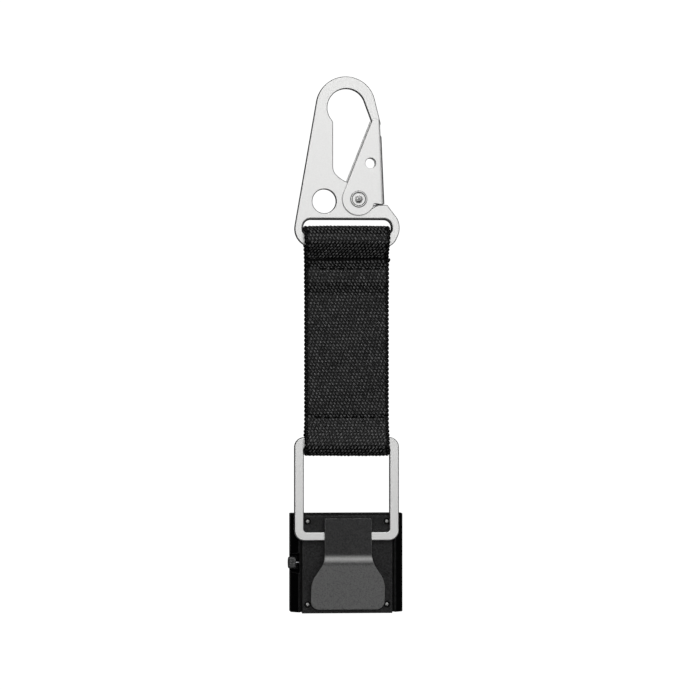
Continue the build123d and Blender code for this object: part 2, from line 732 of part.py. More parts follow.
with BuildPart() as circuit_board:
    with BuildSketch(facing(3.6)):
        with Locations((-4.2, WATCH_Z - 3.6)):
            RectangleRounded(6.2, 7.0, 1)
    extrude(amount=-0.49)
    with BuildSketch(facing(3.6)):
        with Locations((-4.4, WATCH_Z - 4.4)):
            Rectangle(2.4, 2.4)
    extrude(amount=0.4)
save_watch("circuit_board", circuit_board)

with BuildPart() as coil:
    with BuildSketch(Plane.YZ.offset(COIL_AT[0] - 3.2)):
        with Locations((3.37, COIL_AT[1])):
            Circle(0.68)
    extrude(amount=6.4)
    for end in (COIL_AT[0] - 3.6, COIL_AT[0] + 3.2):
        with BuildSketch(Plane.YZ.offset(end)):
            with Locations((3.37, COIL_AT[1])):
                Rectangle(1.42, 1.9)
        extrude(amount=0.4)
save_watch("coil", coil)

# =====================================================================
# Motion works: cannon pinion, minute wheel and hour wheel, in mesh at 12 o'clock
# =====================================================================
def gear_face(teeth, module, bore, half_tooth):
    """Sketch of a straight-flanked gear, turned by half_tooth of a pitch from a tooth pointing up."""
    pitch_r = teeth * module / 2
    base_r = pitch_r - 1.45 * module
    tip_r = pitch_r + 0.85 * module
    base_w = module * pi / 2 * 1.05
    pitch_w = module * pi / 2 - GEAR_CLEAR
    tip_w = module * pi / 2 * 0.42
    with BuildSketch() as gear:
        Circle(pitch_r - 1.15 * module)
        with PolarLocations(0, teeth, start_angle=90 + half_tooth * 360 / teeth):
            Polygon(
                (base_r, -base_w / 2),
                (pitch_r, -pitch_w / 2),
                (tip_r, -tip_w / 2),
                (tip_r, tip_w / 2),
                (pitch_r, pitch_w / 2),
                (base_r, base_w / 2),
                align=None,
            )
        Circle(bore, mode=Mode.SUBTRACT)
    return gear.sketch


def gear_plane(y, at):
    """Plane across a gear's axle at depth y, facing the viewer of the watch's back."""
    return Plane(origin=(at[0], y, at[1]), x_dir=(1, 0, 0), z_dir=(0, -1, 0))


LOW_GEAR_Y = 6.2
HIGH_GEAR_Y = 6.75
HOUR_PIPE_R = 0.95
CANNON_PIPE_R = 0.62
with BuildPart() as cannon_pinion:
    with BuildSketch(gear_plane(LOW_GEAR_Y, (0, WATCH_Z))):
        add(gear_face(CANNON_TEETH, FIRST_MODULE, 0.3, 0.5))
    extrude(amount=-GEAR_T)
    with BuildSketch(facing(LOW_GEAR_Y)):
        with Locations((0, WATCH_Z)):
            Circle(CANNON_PIPE_R)
            Circle(0.3, mode=Mode.SUBTRACT)
    extrude(amount=-2.75)
save_watch("cannon_pinion", cannon_pinion)

with BuildPart() as minute_wheel:
    with BuildSketch(gear_plane(LOW_GEAR_Y, MINUTE_WHEEL_AT)):
        add(gear_face(WHEEL_TEETH, FIRST_MODULE, 0.35, 0))
    extrude(amount=-GEAR_T)
    with BuildSketch(gear_plane(LOW_GEAR_Y + GEAR_T, MINUTE_WHEEL_AT)):
        add(gear_face(PINION_TEETH, SECOND_MODULE, 0.35, 0))
    extrude(amount=LOW_GEAR_Y - HIGH_GEAR_Y)
save_watch("minute_wheel", minute_wheel)

with BuildPart() as hour_wheel:
    with BuildSketch(gear_plane(HIGH_GEAR_Y, (0, WATCH_Z))):
        add(gear_face(HOUR_TEETH, SECOND_MODULE, CANNON_PIPE_R + 0.06, 0.5))
    extrude(amount=-GEAR_T)
    with BuildSketch(facing(HIGH_GEAR_Y)):
        with Locations((0, WATCH_Z)):
            Circle(HOUR_PIPE_R)
            Circle(CANNON_PIPE_R + 0.06, mode=Mode.SUBTRACT)
    extrude(amount=-1.6)
save_watch("hour_wheel", hour_wheel)

# =====================================================================
# Dial, markers, hands and crystal on the front
# =====================================================================
with BuildPart() as dial:
    with BuildSketch(facing(DIAL_Y)):
        with Locations((0, WATCH_Z)):
            RectangleRounded(2 * DIAL_HALF, 2 * DIAL_HALF, 1.5)
            Circle(HOUR_PIPE_R + 0.3, mode=Mode.SUBTRACT)
    extrude(amount=-DIAL_T)
save_watch("dial", dial)

with BuildPart() as hour_markers:
    with BuildSketch(facing(DIAL_Y + DIAL_T)):
        with Locations((0, WATCH_Z)):
            with PolarLocations(9.0, 12):
                Rectangle(2.2, 0.5)
    extrude(amount=-0.2)
save_watch("hour_markers", hour_markers)


def hand_outline(bore, length, tail, root_w, tip_w):
    """Sketch of a tapered hand that points up its own y axis."""
    with BuildSketch() as outline:
        Polygon(
            (-root_w / 2, -tail),
            (root_w / 2, -tail),
            (root_w / 2, 0),
            (tip_w / 2, length),
            (-tip_w / 2, length),
            (-root_w / 2, 0),
            align=None,
        )
        Circle(bore + 0.45)
        Circle(bore, mode=Mode.SUBTRACT)
    return outline.sketch


def hand_plane(y, turn):
    """Plane at depth y that faces the dial side, turned clockwise from 12 o'clock by turn degrees."""
    across = (-cos(radians(turn)), 0, -sin(radians(turn)))
    return Plane(origin=(0, y, WATCH_Z), x_dir=across, z_dir=(0, 1, 0))


with BuildPart() as hour_hand:
    with BuildSketch(hand_plane(8.12, 305)):
        add(hand_outline(HOUR_PIPE_R, 5.2, 1.6, 0.9, 0.5))
    extrude(amount=0.15)
save_watch("hour_hand", hour_hand)

with BuildPart() as minute_hand:
    with BuildSketch(hand_plane(8.6, 50)):
        add(hand_outline(CANNON_PIPE_R, 8.2, 1.8, 0.7, 0.4))
    extrude(amount=0.15)
save_watch("minute_hand", minute_hand)

with BuildPart() as crystal:
    with BuildSketch(facing(CRYSTAL_Y)):
        with Locations((0, WATCH_Z)):
            RectangleRounded(2 * CRYSTAL_HALF, 2 * CRYSTAL_HALF, 2)
    extrude(amount=-CRYSTAL_T)
    rim = crystal.faces().sort_by(Axis.Y)[-1].edges()
    chamfer(rim, 0.25)
save_watch("crystal", crystal)

with BuildPart() as crystal_gasket:
    with BuildSketch(facing(CRYSTAL_Y - 0.6)):
        with Locations((0, WATCH_Z)):
            RectangleRounded(2 * CRYSTAL_HALF + 0.7, 2 * CRYSTAL_HALF + 0.7, 2.15)
            RectangleRounded(2 * CRYSTAL_HALF - 1.2, 2 * CRYSTAL_HALF - 1.2, 1.4, mode=Mode.SUBTRACT)
    extrude(amount=-1.3)
    with BuildSketch(facing(CRYSTAL_Y)):
        with Locations((0, WATCH_Z)):
            RectangleRounded(2 * CRYSTAL_HALF + 0.02, 2 * CRYSTAL_HALF + 0.02, 2.01)
    extrude(amount=-2, mode=Mode.SUBTRACT)
save_watch("crystal_gasket", crystal_gasket)
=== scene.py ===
"""Looks of a key organiser: a carry hook, a webbing loop, a rectangular ring and a clip-on watch.

Everything is in metres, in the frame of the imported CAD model: +X right, +Z up and -Y towards the
viewer of the watch's back. The origin is the top of the hook's eye.
"""

from __future__ import annotations

import json
import logging
import math
from dataclasses import dataclass, field
from enum import Enum
from typing import ClassVar, Iterable, Optional, Sequence, Union

import bpy
import numpy as np
from mathutils import Matrix, Vector

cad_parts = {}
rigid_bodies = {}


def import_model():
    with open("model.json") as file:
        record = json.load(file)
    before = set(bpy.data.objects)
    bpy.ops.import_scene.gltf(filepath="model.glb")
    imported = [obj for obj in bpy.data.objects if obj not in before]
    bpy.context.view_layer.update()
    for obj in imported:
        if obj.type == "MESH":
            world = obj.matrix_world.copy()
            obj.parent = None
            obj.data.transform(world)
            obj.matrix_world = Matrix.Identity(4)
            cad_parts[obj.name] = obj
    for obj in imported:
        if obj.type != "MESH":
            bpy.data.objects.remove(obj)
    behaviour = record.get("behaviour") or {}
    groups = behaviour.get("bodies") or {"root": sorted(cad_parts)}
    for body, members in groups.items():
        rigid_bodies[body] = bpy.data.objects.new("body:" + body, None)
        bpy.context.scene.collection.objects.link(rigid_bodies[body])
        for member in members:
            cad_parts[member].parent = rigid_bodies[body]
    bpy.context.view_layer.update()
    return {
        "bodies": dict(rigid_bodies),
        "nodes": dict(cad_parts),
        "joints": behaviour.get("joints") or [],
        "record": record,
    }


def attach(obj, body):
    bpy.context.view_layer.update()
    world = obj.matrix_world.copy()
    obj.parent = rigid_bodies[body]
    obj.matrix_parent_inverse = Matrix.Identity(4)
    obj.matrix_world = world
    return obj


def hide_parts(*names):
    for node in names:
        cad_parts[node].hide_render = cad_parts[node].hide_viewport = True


logger = logging.getLogger("key_organiser")

MM = 0.001
SEED = 7


class Axis(Enum):
    """Axes that a turned piece can be laid along."""

    X = "x"
    Y = "y"
    Z = "z"


# ---------------------------------------------------------------------------
# Small helpers for objects and meshes
# ---------------------------------------------------------------------------


def deselect_all() -> None:
    """Leaves object mode with nothing selected and nothing active."""
    if bpy.context.object is not None and bpy.context.object.mode != "OBJECT":
        bpy.ops.object.mode_set(mode="OBJECT")
    bpy.ops.object.select_all(action="DESELECT")
    bpy.context.view_layer.objects.active = None


def activate(piece: bpy.types.Object) -> None:
    """Makes one object the only selected and the active one.

    Args:
        piece: The object to work on.
    """
    deselect_all()
    piece.select_set(True)
    bpy.context.view_layer.objects.active = piece


def settle(piece: bpy.types.Object) -> bpy.types.Object:
    """Moves an object's place, turn and size into its mesh.

    Args:
        piece: The object to settle.

    Returns:
        The same object, at the origin.
    """
    activate(piece)
    bpy.ops.object.transform_apply(location=True, rotation=True, scale=True)
    return piece


def rename(piece: bpy.types.Object, name: str) -> None:
    """Gives an object and its mesh one name."""
    piece.name = name
    piece.data.name = name


def apply_modifiers(piece: bpy.types.Object) -> None:
    """Applies every modifier of a piece in order.

    Args:
        piece: The object whose modifiers are applied.
    """
    activate(piece)
    for modifier in list(piece.modifiers):
        bpy.ops.object.modifier_apply(modifier=modifier.name)


def smooth(piece: bpy.types.Object, degrees: float = 35.0) -> None:
    """Smooths shading across edges flatter than an angle.

    Args:
        piece: The object to shade.
        degrees: Edges sharper than this stay crisp.
    """
    activate(piece)
    bpy.ops.object.shade_smooth_by_angle(angle=math.radians(degrees))


def close_up(piece: bpy.types.Object, degrees: float) -> bpy.types.Object:
    """Turns every face of a closed piece outwards, then smooths it.

    Args:
        piece: The piece to complete.
        degrees: Edges sharper than this stay crisp.

    Returns:
        The same piece.
    """
    activate(piece)
    bpy.ops.object.mode_set(mode="EDIT")
    bpy.ops.mesh.select_all(action="SELECT")
    bpy.ops.mesh.normals_make_consistent(inside=False)
    bpy.ops.object.mode_set(mode="OBJECT")
    smooth(piece, degrees)
    return piece


def repeat(piece: bpy.types.Object, name: str, step: Sequence[float], count: int) -> None:
    """Adds a row of copies at an even step.

    Args:
        piece: The piece to repeat.
        name: The modifier's name.
        step: The shift from one copy to the next.
        count: How many there are in all.
    """
    row = piece.modifiers.new(name, "ARRAY")
    row.use_relative_offset = False
    row.use_constant_offset = True
    row.constant_offset_displace = step
    row.count = count


def join(pieces: Sequence[bpy.types.Object], name: str) -> bpy.types.Object:
    """Joins pieces into one named object.

    Args:
        pieces: The objects to join.
        name: The name of the result.

    Returns:
        The joined object.
    """
    deselect_all()
    for piece in pieces:
        piece.select_set(True)
    bpy.context.view_layer.objects.active = pieces[0]
    if len(pieces) > 1:
        bpy.ops.object.join()
    joined = bpy.context.view_layer.objects.active
    rename(joined, name)
    return joined


def copy_of(piece: bpy.types.Object, name: str) -> bpy.types.Object:
    """Copies an object with a mesh of its own.

    Args:
        piece: The object to copy.
        name: The copy's name.

    Returns:
        The copy, linked to the scene.
    """
    twin = bpy.data.objects.new(name, piece.data.copy())
    bpy.context.scene.collection.objects.link(twin)
    return twin


def move_mesh(piece: bpy.types.Object, offset: Iterable[float]) -> None:
    """Shifts a mesh within its object.

    Args:
        piece: The object whose mesh moves.
        offset: The shift, in metres.
    """
    piece.data.transform(Matrix.Translation(Vector(offset)))


def turned_piece(
    name: str,
    profile: Sequence[tuple[float, float]],
    centre: Iterable[float],
    axis: Axis,
    flip: bool = False,
    segments: int = 64,
    degrees: float = 30.0,
) -> bpy.types.Object:
    """Models a turned solid by extruding and scaling a disc step by step.

    Args:
        name: The piece's name.
        profile: Radius and height of each step, in millimetres, from the bottom face up.
        centre: Where height 0 of the profile lies, in metres.
        axis: The axis that the heights run along.
        flip: Whether the heights run along the negative axis.
        segments: Corners of the disc.
        degrees: Edges sharper than this stay crisp.

    Returns:
        The finished piece.
    """
    deselect_all()
    first_r, first_h = profile[0]
    bpy.ops.mesh.primitive_circle_add(
        vertices=segments, radius=first_r * MM, fill_type="NGON", location=(0, 0, first_h * MM)
    )
    piece = bpy.context.object
    settle(piece)
    bpy.ops.object.mode_set(mode="EDIT")
    bpy.ops.mesh.select_all(action="SELECT")
    radius, height = first_r, first_h
    for next_r, next_h in profile[1:]:
        bpy.ops.mesh.extrude_region_move(
            TRANSFORM_OT_translate={"value": (0, 0, (next_h - height) * MM)}
        )
        share = next_r / radius
        bpy.ops.transform.resize(value=(share, share, 1), center_override=(0, 0, next_h * MM))
        radius, height = next_r, next_h
    bpy.ops.object.mode_set(mode="OBJECT")
    turn = {
        Axis.X: Matrix.Rotation(math.radians(90), 4, "Y"),
        Axis.Y: Matrix.Rotation(math.radians(-90), 4, "X"),
        Axis.Z: Matrix.Identity(4),
    }[axis]
    if flip:
        turn = turn @ Matrix.Rotation(math.pi, 4, "X")
    piece.data.transform(Matrix.Translation(Vector(centre)) @ turn)
    rename(piece, name)
    return close_up(piece, degrees)


def refined_copy(
    node: bpy.types.Object, name: str, bevel: float, segments: int = 2, degrees: float = 30.0
) -> bpy.types.Object:
    """Copies a CAD node, merges its triangles into faces and rounds its sharp edges.

    Args:
        node: The CAD node's object.
        name: The new piece's name.
        bevel: Width of the rounding, in millimetres.
        segments: Steps across each rounding.
        degrees: Edges sharper than this are rounded.

    Returns:
        The new piece.
    """
    piece = copy_of(node, name)
    activate(piece)
    bpy.ops.mesh.customdata_custom_splitnormals_clear()
    bpy.ops.object.mode_set(mode="EDIT")
    bpy.ops.mesh.select_all(action="SELECT")
    bpy.ops.mesh.remove_doubles(threshold=0.002 * MM)
    bpy.ops.mesh.dissolve_limited(angle_limit=math.radians(0.3))
    bpy.ops.object.mode_set(mode="OBJECT")
    rounding = piece.modifiers.new("rounding", "BEVEL")
    rounding.width = bevel * MM
    rounding.segments = segments
    rounding.limit_method = "ANGLE"
    rounding.angle_limit = math.radians(degrees)
    rounding.use_clamp_overlap = False
    rounding.miter_outer = "MITER_ARC"
    rounding.material = 1
    piece.data.materials.clear()
    piece.data.materials.append(None)
    piece.data.materials.append(None)
    apply_modifiers(piece)
    mark_rims(piece)
    smooth(piece, 40)
    weight_normals(piece)
    return piece


def mark_rims(piece: bpy.types.Object) -> None:
    """Writes a face attribute that is 1 on the rounded edges and 0 elsewhere.

    Args:
        piece: A piece whose rounded faces use its second material slot.
    """
    count = len(piece.data.polygons)
    slots = np.zeros(count, dtype=np.int32)
    piece.data.polygons.foreach_get("material_index", slots)
    rims = piece.data.attributes.new("rim", "FLOAT", "FACE")
    rims.data.foreach_set("value", (slots == 1).astype(np.float32))


def mark_crests(piece: bpy.types.Object, shares: np.ndarray) -> None:
    """Writes the same attribute as a rim's, point by point, for the crests of a texture; on the webbing
    these crests take painted glints.

    Args:
        piece: The piece to mark.
        shares: One value per vertex, 1 on a crest and 0 in a hollow.
    """
    crests = piece.data.attributes.new("rim", "FLOAT", "POINT")
    crests.data.foreach_set("value", np.clip(shares, 0, 1).astype(np.float32).reshape(-1))


def weight_normals(piece: bpy.types.Object) -> None:
    """Lets the broad flat faces of a rounded piece shade flat.

    Args:
        piece: The object to shade.
    """
    weights = piece.modifiers.new("flat_faces", "WEIGHTED_NORMAL")
    weights.mode = "FACE_AREA"
    weights.weight = 100
    weights.keep_sharp = True
    apply_modifiers(piece)


# ---------------------------------------------------------------------------
# Shader node groups shared by the finishes
# ---------------------------------------------------------------------------


Source = Union[float, bpy.types.NodeSocket]


def calculate(
    tree: bpy.types.NodeTree, operation: str, *sources: Source, clamp: bool = False
) -> bpy.types.NodeSocket:
    """Adds one maths node.

    Args:
        tree: The tree to add to.
        operation: The operation's name.
        sources: A number or a socket for each input.
        clamp: Whether the result stays between 0 and 1.

    Returns:
        The result's socket.
    """
    node = tree.nodes.new("ShaderNodeMath")
    node.operation = operation
    node.use_clamp = clamp
    for socket, source in zip(node.inputs, sources):
        if isinstance(source, (int, float)):
            socket.default_value = source
        else:
            tree.links.new(source, socket)
    return node.outputs[0]


def blend_colours(
    tree: bpy.types.NodeTree,
    share: bpy.types.NodeSocket,
    first: Union[Sequence[float], bpy.types.NodeSocket],
    second: Sequence[float],
) -> bpy.types.NodeSocket:
    """Adds one colour mix.

    Args:
        tree: The tree to add to.
        share: How much of the second colour shows.
        first: The first colour, or a socket that gives it.
        second: The second colour.

    Returns:
        The mixed colour's socket.
    """
    node = tree.nodes.new("ShaderNodeMix")
    node.data_type = "RGBA"
    tree.links.new(share, node.inputs[0])
    if isinstance(first, bpy.types.NodeSocket):
        tree.links.new(first, node.inputs[6])
    else:
        node.inputs[6].default_value = (*first, 1)
    node.inputs[7].default_value = (*second, 1)
    return node.outputs[2]


class Shaders:
    """Builds the node groups that more than one finish uses.

    Sizes and heights are in millimetres, on the piece's own coordinates.
    """

    def __init__(self) -> None:
        """Makes every shared group once."""
        self.grain = self._grain()
        self.wear_and_glint = self._wear_and_glint()
        self.band = self._painted_light_mask()
        self.fibre = self._fibre()
        self.smudge = self._smudge()

    @staticmethod
    def _group(
        name: str, inputs: Sequence[tuple[str, float]], output: str
    ) -> tuple[bpy.types.NodeTree, bpy.types.Node, bpy.types.NodeSocket]:
        """Makes an empty group with value inputs and one value output.

        Args:
            name: The group's name.
            inputs: Name and default of each input.
            output: Name of the output.

        Returns:
            The tree, its input node and the socket that its result goes to.
        """
        tree = bpy.data.node_groups.new(name, "ShaderNodeTree")
        for label, default in inputs:
            socket = tree.interface.new_socket(label, in_out="INPUT", socket_type="NodeSocketFloat")
            socket.default_value = default
        tree.interface.new_socket(output, in_out="OUTPUT", socket_type="NodeSocketFloat")
        result = tree.nodes.new("NodeGroupOutput").inputs[output]
        return tree, tree.nodes.new("NodeGroupInput"), result

    @staticmethod
    def _noise(
        tree: bpy.types.NodeTree,
        size: bpy.types.NodeSocket,
        place: Optional[bpy.types.NodeSocket] = None,
        **settings: float,
    ) -> bpy.types.NodeSocket:
        """Adds noise with features of a given size.

        Args:
            tree: The tree to add to.
            size: The features' size.
            place: Where the noise is read, the piece's own coordinates if left out.
            settings: Values for the noise's other inputs.

        Returns:
            The noise's value.
        """
        if place is None:
            place = tree.nodes.new("ShaderNodeTexCoord").outputs["Object"]
        noise = tree.nodes.new("ShaderNodeTexNoise")
        for label, value in settings.items():
            noise.inputs[label].default_value = value
        tree.links.new(place, noise.inputs["Vector"])
        tree.links.new(calculate(tree, "DIVIDE", 1 / MM, size), noise.inputs["Scale"])
        return noise.outputs["Fac"]

    def _grain(self) -> bpy.types.NodeTree:
        """Makes fine blasted or sprayed grain, spread about one half."""
        tree, ins, result = self._group("fine_grain", [("Size", 0.2), ("Contrast", 1.0)], "Grain")
        noise = self._noise(tree, ins.outputs["Size"], Detail=4.0, Roughness=0.7)
        level = calculate(tree, "SUBTRACT", noise, 0.5)
        spread = calculate(tree, "MULTIPLY_ADD", level, ins.outputs["Contrast"], 0.5, clamp=True)
        tree.links.new(spread, result)
        return tree

    def _wear_and_glint(self) -> bpy.types.NodeTree:
        """Makes a mask of the marked rims and crests, broken up by noise: rubbed edges, and painted
        glints on the webbing's yarn crests.
        """
        tree, ins, result = self._group("edge_wear_and_glint", [("Rim", 0.0), ("Size", 0.8)], "Mask")
        spread = tree.nodes.new("ShaderNodeMapRange")
        spread.inputs["From Min"].default_value = 0.35
        spread.inputs["From Max"].default_value = 0.65
        spread.inputs["To Min"].default_value = 0.25
        tree.links.new(self._noise(tree, ins.outputs["Size"], Detail=3.0), spread.inputs["Value"])
        tree.links.new(calculate(tree, "MULTIPLY", ins.outputs["Rim"], spread.outputs[0]), result)
        return tree

    def _painted_light_mask(self) -> bpy.types.NodeTree:
        """Makes a mask of a soft band between two heights, for a band of painted light."""
        tree, ins, result = self._group(
            "painted_light_band", [("Top", 0.0), ("Bottom", -1.0), ("Softness", 0.3)], "Mask"
        )
        parts = tree.nodes.new("ShaderNodeSeparateXYZ")
        tree.links.new(tree.nodes.new("ShaderNodeTexCoord").outputs["Object"], parts.inputs[0])
        height = calculate(tree, "MULTIPLY", parts.outputs["Z"], 1 / MM)
        sides = []
        for ends in ((height, ins.outputs["Bottom"]), (ins.outputs["Top"], height)):
            gap = calculate(tree, "SUBTRACT", *ends)
            eased = tree.nodes.new("ShaderNodeMapRange")
            eased.interpolation_type = "SMOOTHSTEP"
            eased.inputs["From Min"].default_value = -1.0
            share = calculate(tree, "DIVIDE", gap, ins.outputs["Softness"])
            tree.links.new(share, eased.inputs["Value"])
            sides.append(eased.outputs[0])
        tree.links.new(calculate(tree, "MULTIPLY", *sides), result)
        return tree

    def _fibre(self) -> bpy.types.NodeTree:
        """Makes a yarn's filaments, as noise stretched along a slanted direction."""
        tree, ins, result = self._group("filaments", [("Size", 0.06), ("Slant", 0.9)], "Height")
        turn = tree.nodes.new("ShaderNodeVectorRotate")
        turn.rotation_type = "Y_AXIS"
        tree.links.new(tree.nodes.new("ShaderNodeTexCoord").outputs["Object"], turn.inputs["Vector"])
        tree.links.new(ins.outputs["Slant"], turn.inputs["Angle"])
        squeeze = tree.nodes.new("ShaderNodeMapping")
        squeeze.inputs["Scale"].default_value = (1.0, 1.0, 0.12)
        tree.links.new(turn.outputs["Vector"], squeeze.inputs["Vector"])
        strands = self._noise(tree, ins.outputs["Size"], squeeze.outputs["Vector"], Detail=2.0)
        tree.links.new(strands, result)
        return tree

    def _smudge(self) -> bpy.types.NodeTree:
        """Makes broad soft patches, as handling leaves on a satin surface."""
        tree, ins, result = self._group("smudges", [("Size", 6.0)], "Mask")
        patches = self._noise(tree, ins.outputs["Size"], Detail=2.5, Distortion=0.6)
        tree.links.new(patches, result)
        return tree


class Surface(Enum):
    """Kinds of surface that a finish can be built as."""

    METAL = "metal"
    COATING = "coating"
    YARN = "yarn"
    POLYMER = "polymer"
    GLASS = "glass"


@dataclass(frozen=True)
class PaintedLightBand:
    """A stretch of a piece, between two heights in millimetres, painted paler as painted light for the
    lamps that its tilted faces catch.
    """

    top: float
    bottom: float
    softness: float
    colour: tuple[float, float, float]
    band_speckle: float = 0.5


@dataclass(frozen=True)
class Finish:
    """One finish: its colours, gloss and the size of its detail.

    Grain and smudge sizes are in millimetres. Colours are linear.
    """

    name: str
    surface: Surface
    low: tuple[float, float, float]
    high: tuple[float, float, float]
    roughness: tuple[float, float]
    metallic: float = 0.0
    grain: float = 0.2
    bump: float = 0.15
    bump_depth: float = 0.01
    # Colour of the paler rims and crests: real wear, and on the webbing a painted glint.
    wear_and_glint: Optional[tuple[float, float, float]] = None
    contrast: float = 1.0
    # Bands of painted light laid over the colour.
    painted_light_bands: tuple[PaintedLightBand, ...] = ()
    coat: float = 0.0
    specular: float = 0.5
    FINE_SHARE: ClassVar[float] = 0.65

    def build(self, shaders: Shaders) -> bpy.types.Material:
        """Makes the material.

        Args:
            shaders: The shared node groups.

        Returns:
            The new material.
        """
        material = bpy.data.materials.new(self.name)
        material.use_nodes = True
        tree = material.node_tree
        surface = tree.nodes["Principled BSDF"]
        constants = {
            "Metallic": self.metallic, "Specular IOR Level": self.specular,
            "Coat Weight": self.coat, "Coat Roughness": 0.15,
        }
        if self.surface is Surface.GLASS:
            constants.update({"Transmission Weight": 1.0, "IOR": 1.45})
        for label, value in constants.items():
            surface.inputs[label].default_value = value
        woven = self.surface is Surface.YARN
        grain = {"Size": self.grain} if woven else {"Size": self.grain, "Contrast": self.contrast}
        fine = self._add_group(tree, shaders.fibre if woven else shaders.grain, **grain)
        broad = self._add_group(tree, shaders.smudge)
        detail = calculate(tree, "MULTIPLY", fine, self.FINE_SHARE)
        pattern = calculate(tree, "MULTIPLY_ADD", broad, 1 - self.FINE_SHARE, detail, clamp=True)
        colour = blend_colours(tree, pattern, self.low, self.high)
        # Painted light: paler bands where a tilted face catches the lamps.
        for band in self.painted_light_bands:
            colour = self._paint_light_band(tree, shaders, band, fine, colour)
        # Paler rims and crests: rubbed edges on most finishes, painted glints on the webbing's yarn
        # crests.
        if self.wear_and_glint is not None:
            rim = tree.nodes.new("ShaderNodeAttribute")
            rim.attribute_name = "rim"
            wear_and_glint_mask = self._add_group(tree, shaders.wear_and_glint, Rim=rim.outputs["Fac"])
            colour = blend_colours(tree, wear_and_glint_mask, colour, self.wear_and_glint)
        tree.links.new(colour, surface.inputs["Base Color"])
        gloss = tree.nodes.new("ShaderNodeMapRange")
        gloss.inputs["To Min"].default_value = self.roughness[0]
        gloss.inputs["To Max"].default_value = self.roughness[1]
        tree.links.new(pattern, gloss.inputs["Value"])
        tree.links.new(gloss.outputs[0], surface.inputs["Roughness"])
        if self.bump > 0:
            relief = tree.nodes.new("ShaderNodeBump")
            relief.inputs["Strength"].default_value = self.bump
            relief.inputs["Distance"].default_value = self.bump_depth * MM
            tree.links.new(fine, relief.inputs["Height"])
            tree.links.new(relief.outputs["Normal"], surface.inputs["Normal"])
        return material

    @staticmethod
    def _add_group(
        tree: bpy.types.NodeTree, group: bpy.types.NodeTree, **sources: Source
    ) -> bpy.types.NodeSocket:
        """Adds one shared group.

        Args:
            tree: The material's tree.
            group: The group to add.
            sources: A number or a socket for each input that is set.

        Returns:
            The group's result.
        """
        node = tree.nodes.new("ShaderNodeGroup")
        node.node_tree = group
        for label, source in sources.items():
            if isinstance(source, (int, float)):
                node.inputs[label].default_value = source
            else:
                tree.links.new(source, node.inputs[label])
        return node.outputs[0]

    def _paint_light_band(
        self,
        tree: bpy.types.NodeTree,
        shaders: Shaders,
        band: PaintedLightBand,
        fine: bpy.types.NodeSocket,
        colour: bpy.types.NodeSocket,
    ) -> bpy.types.NodeSocket:
        """Lays one band of painted light over a colour, speckled by the grain.

        Args:
            tree: The material's tree.
            shaders: The shared node groups.
            band: The band.
            fine: The fine grain.
            colour: The colour so far.

        Returns:
            The colour with the band.
        """
        mask = self._add_group(
            tree, shaders.band, Top=band.top, Bottom=band.bottom, Softness=band.softness
        )
        speckle = calculate(tree, "MULTIPLY_ADD", fine, band.band_speckle, 0.9 - band.band_speckle / 2)
        amount = calculate(tree, "MULTIPLY", mask, speckle, clamp=True)
        return blend_colours(tree, amount, colour, band.colour)


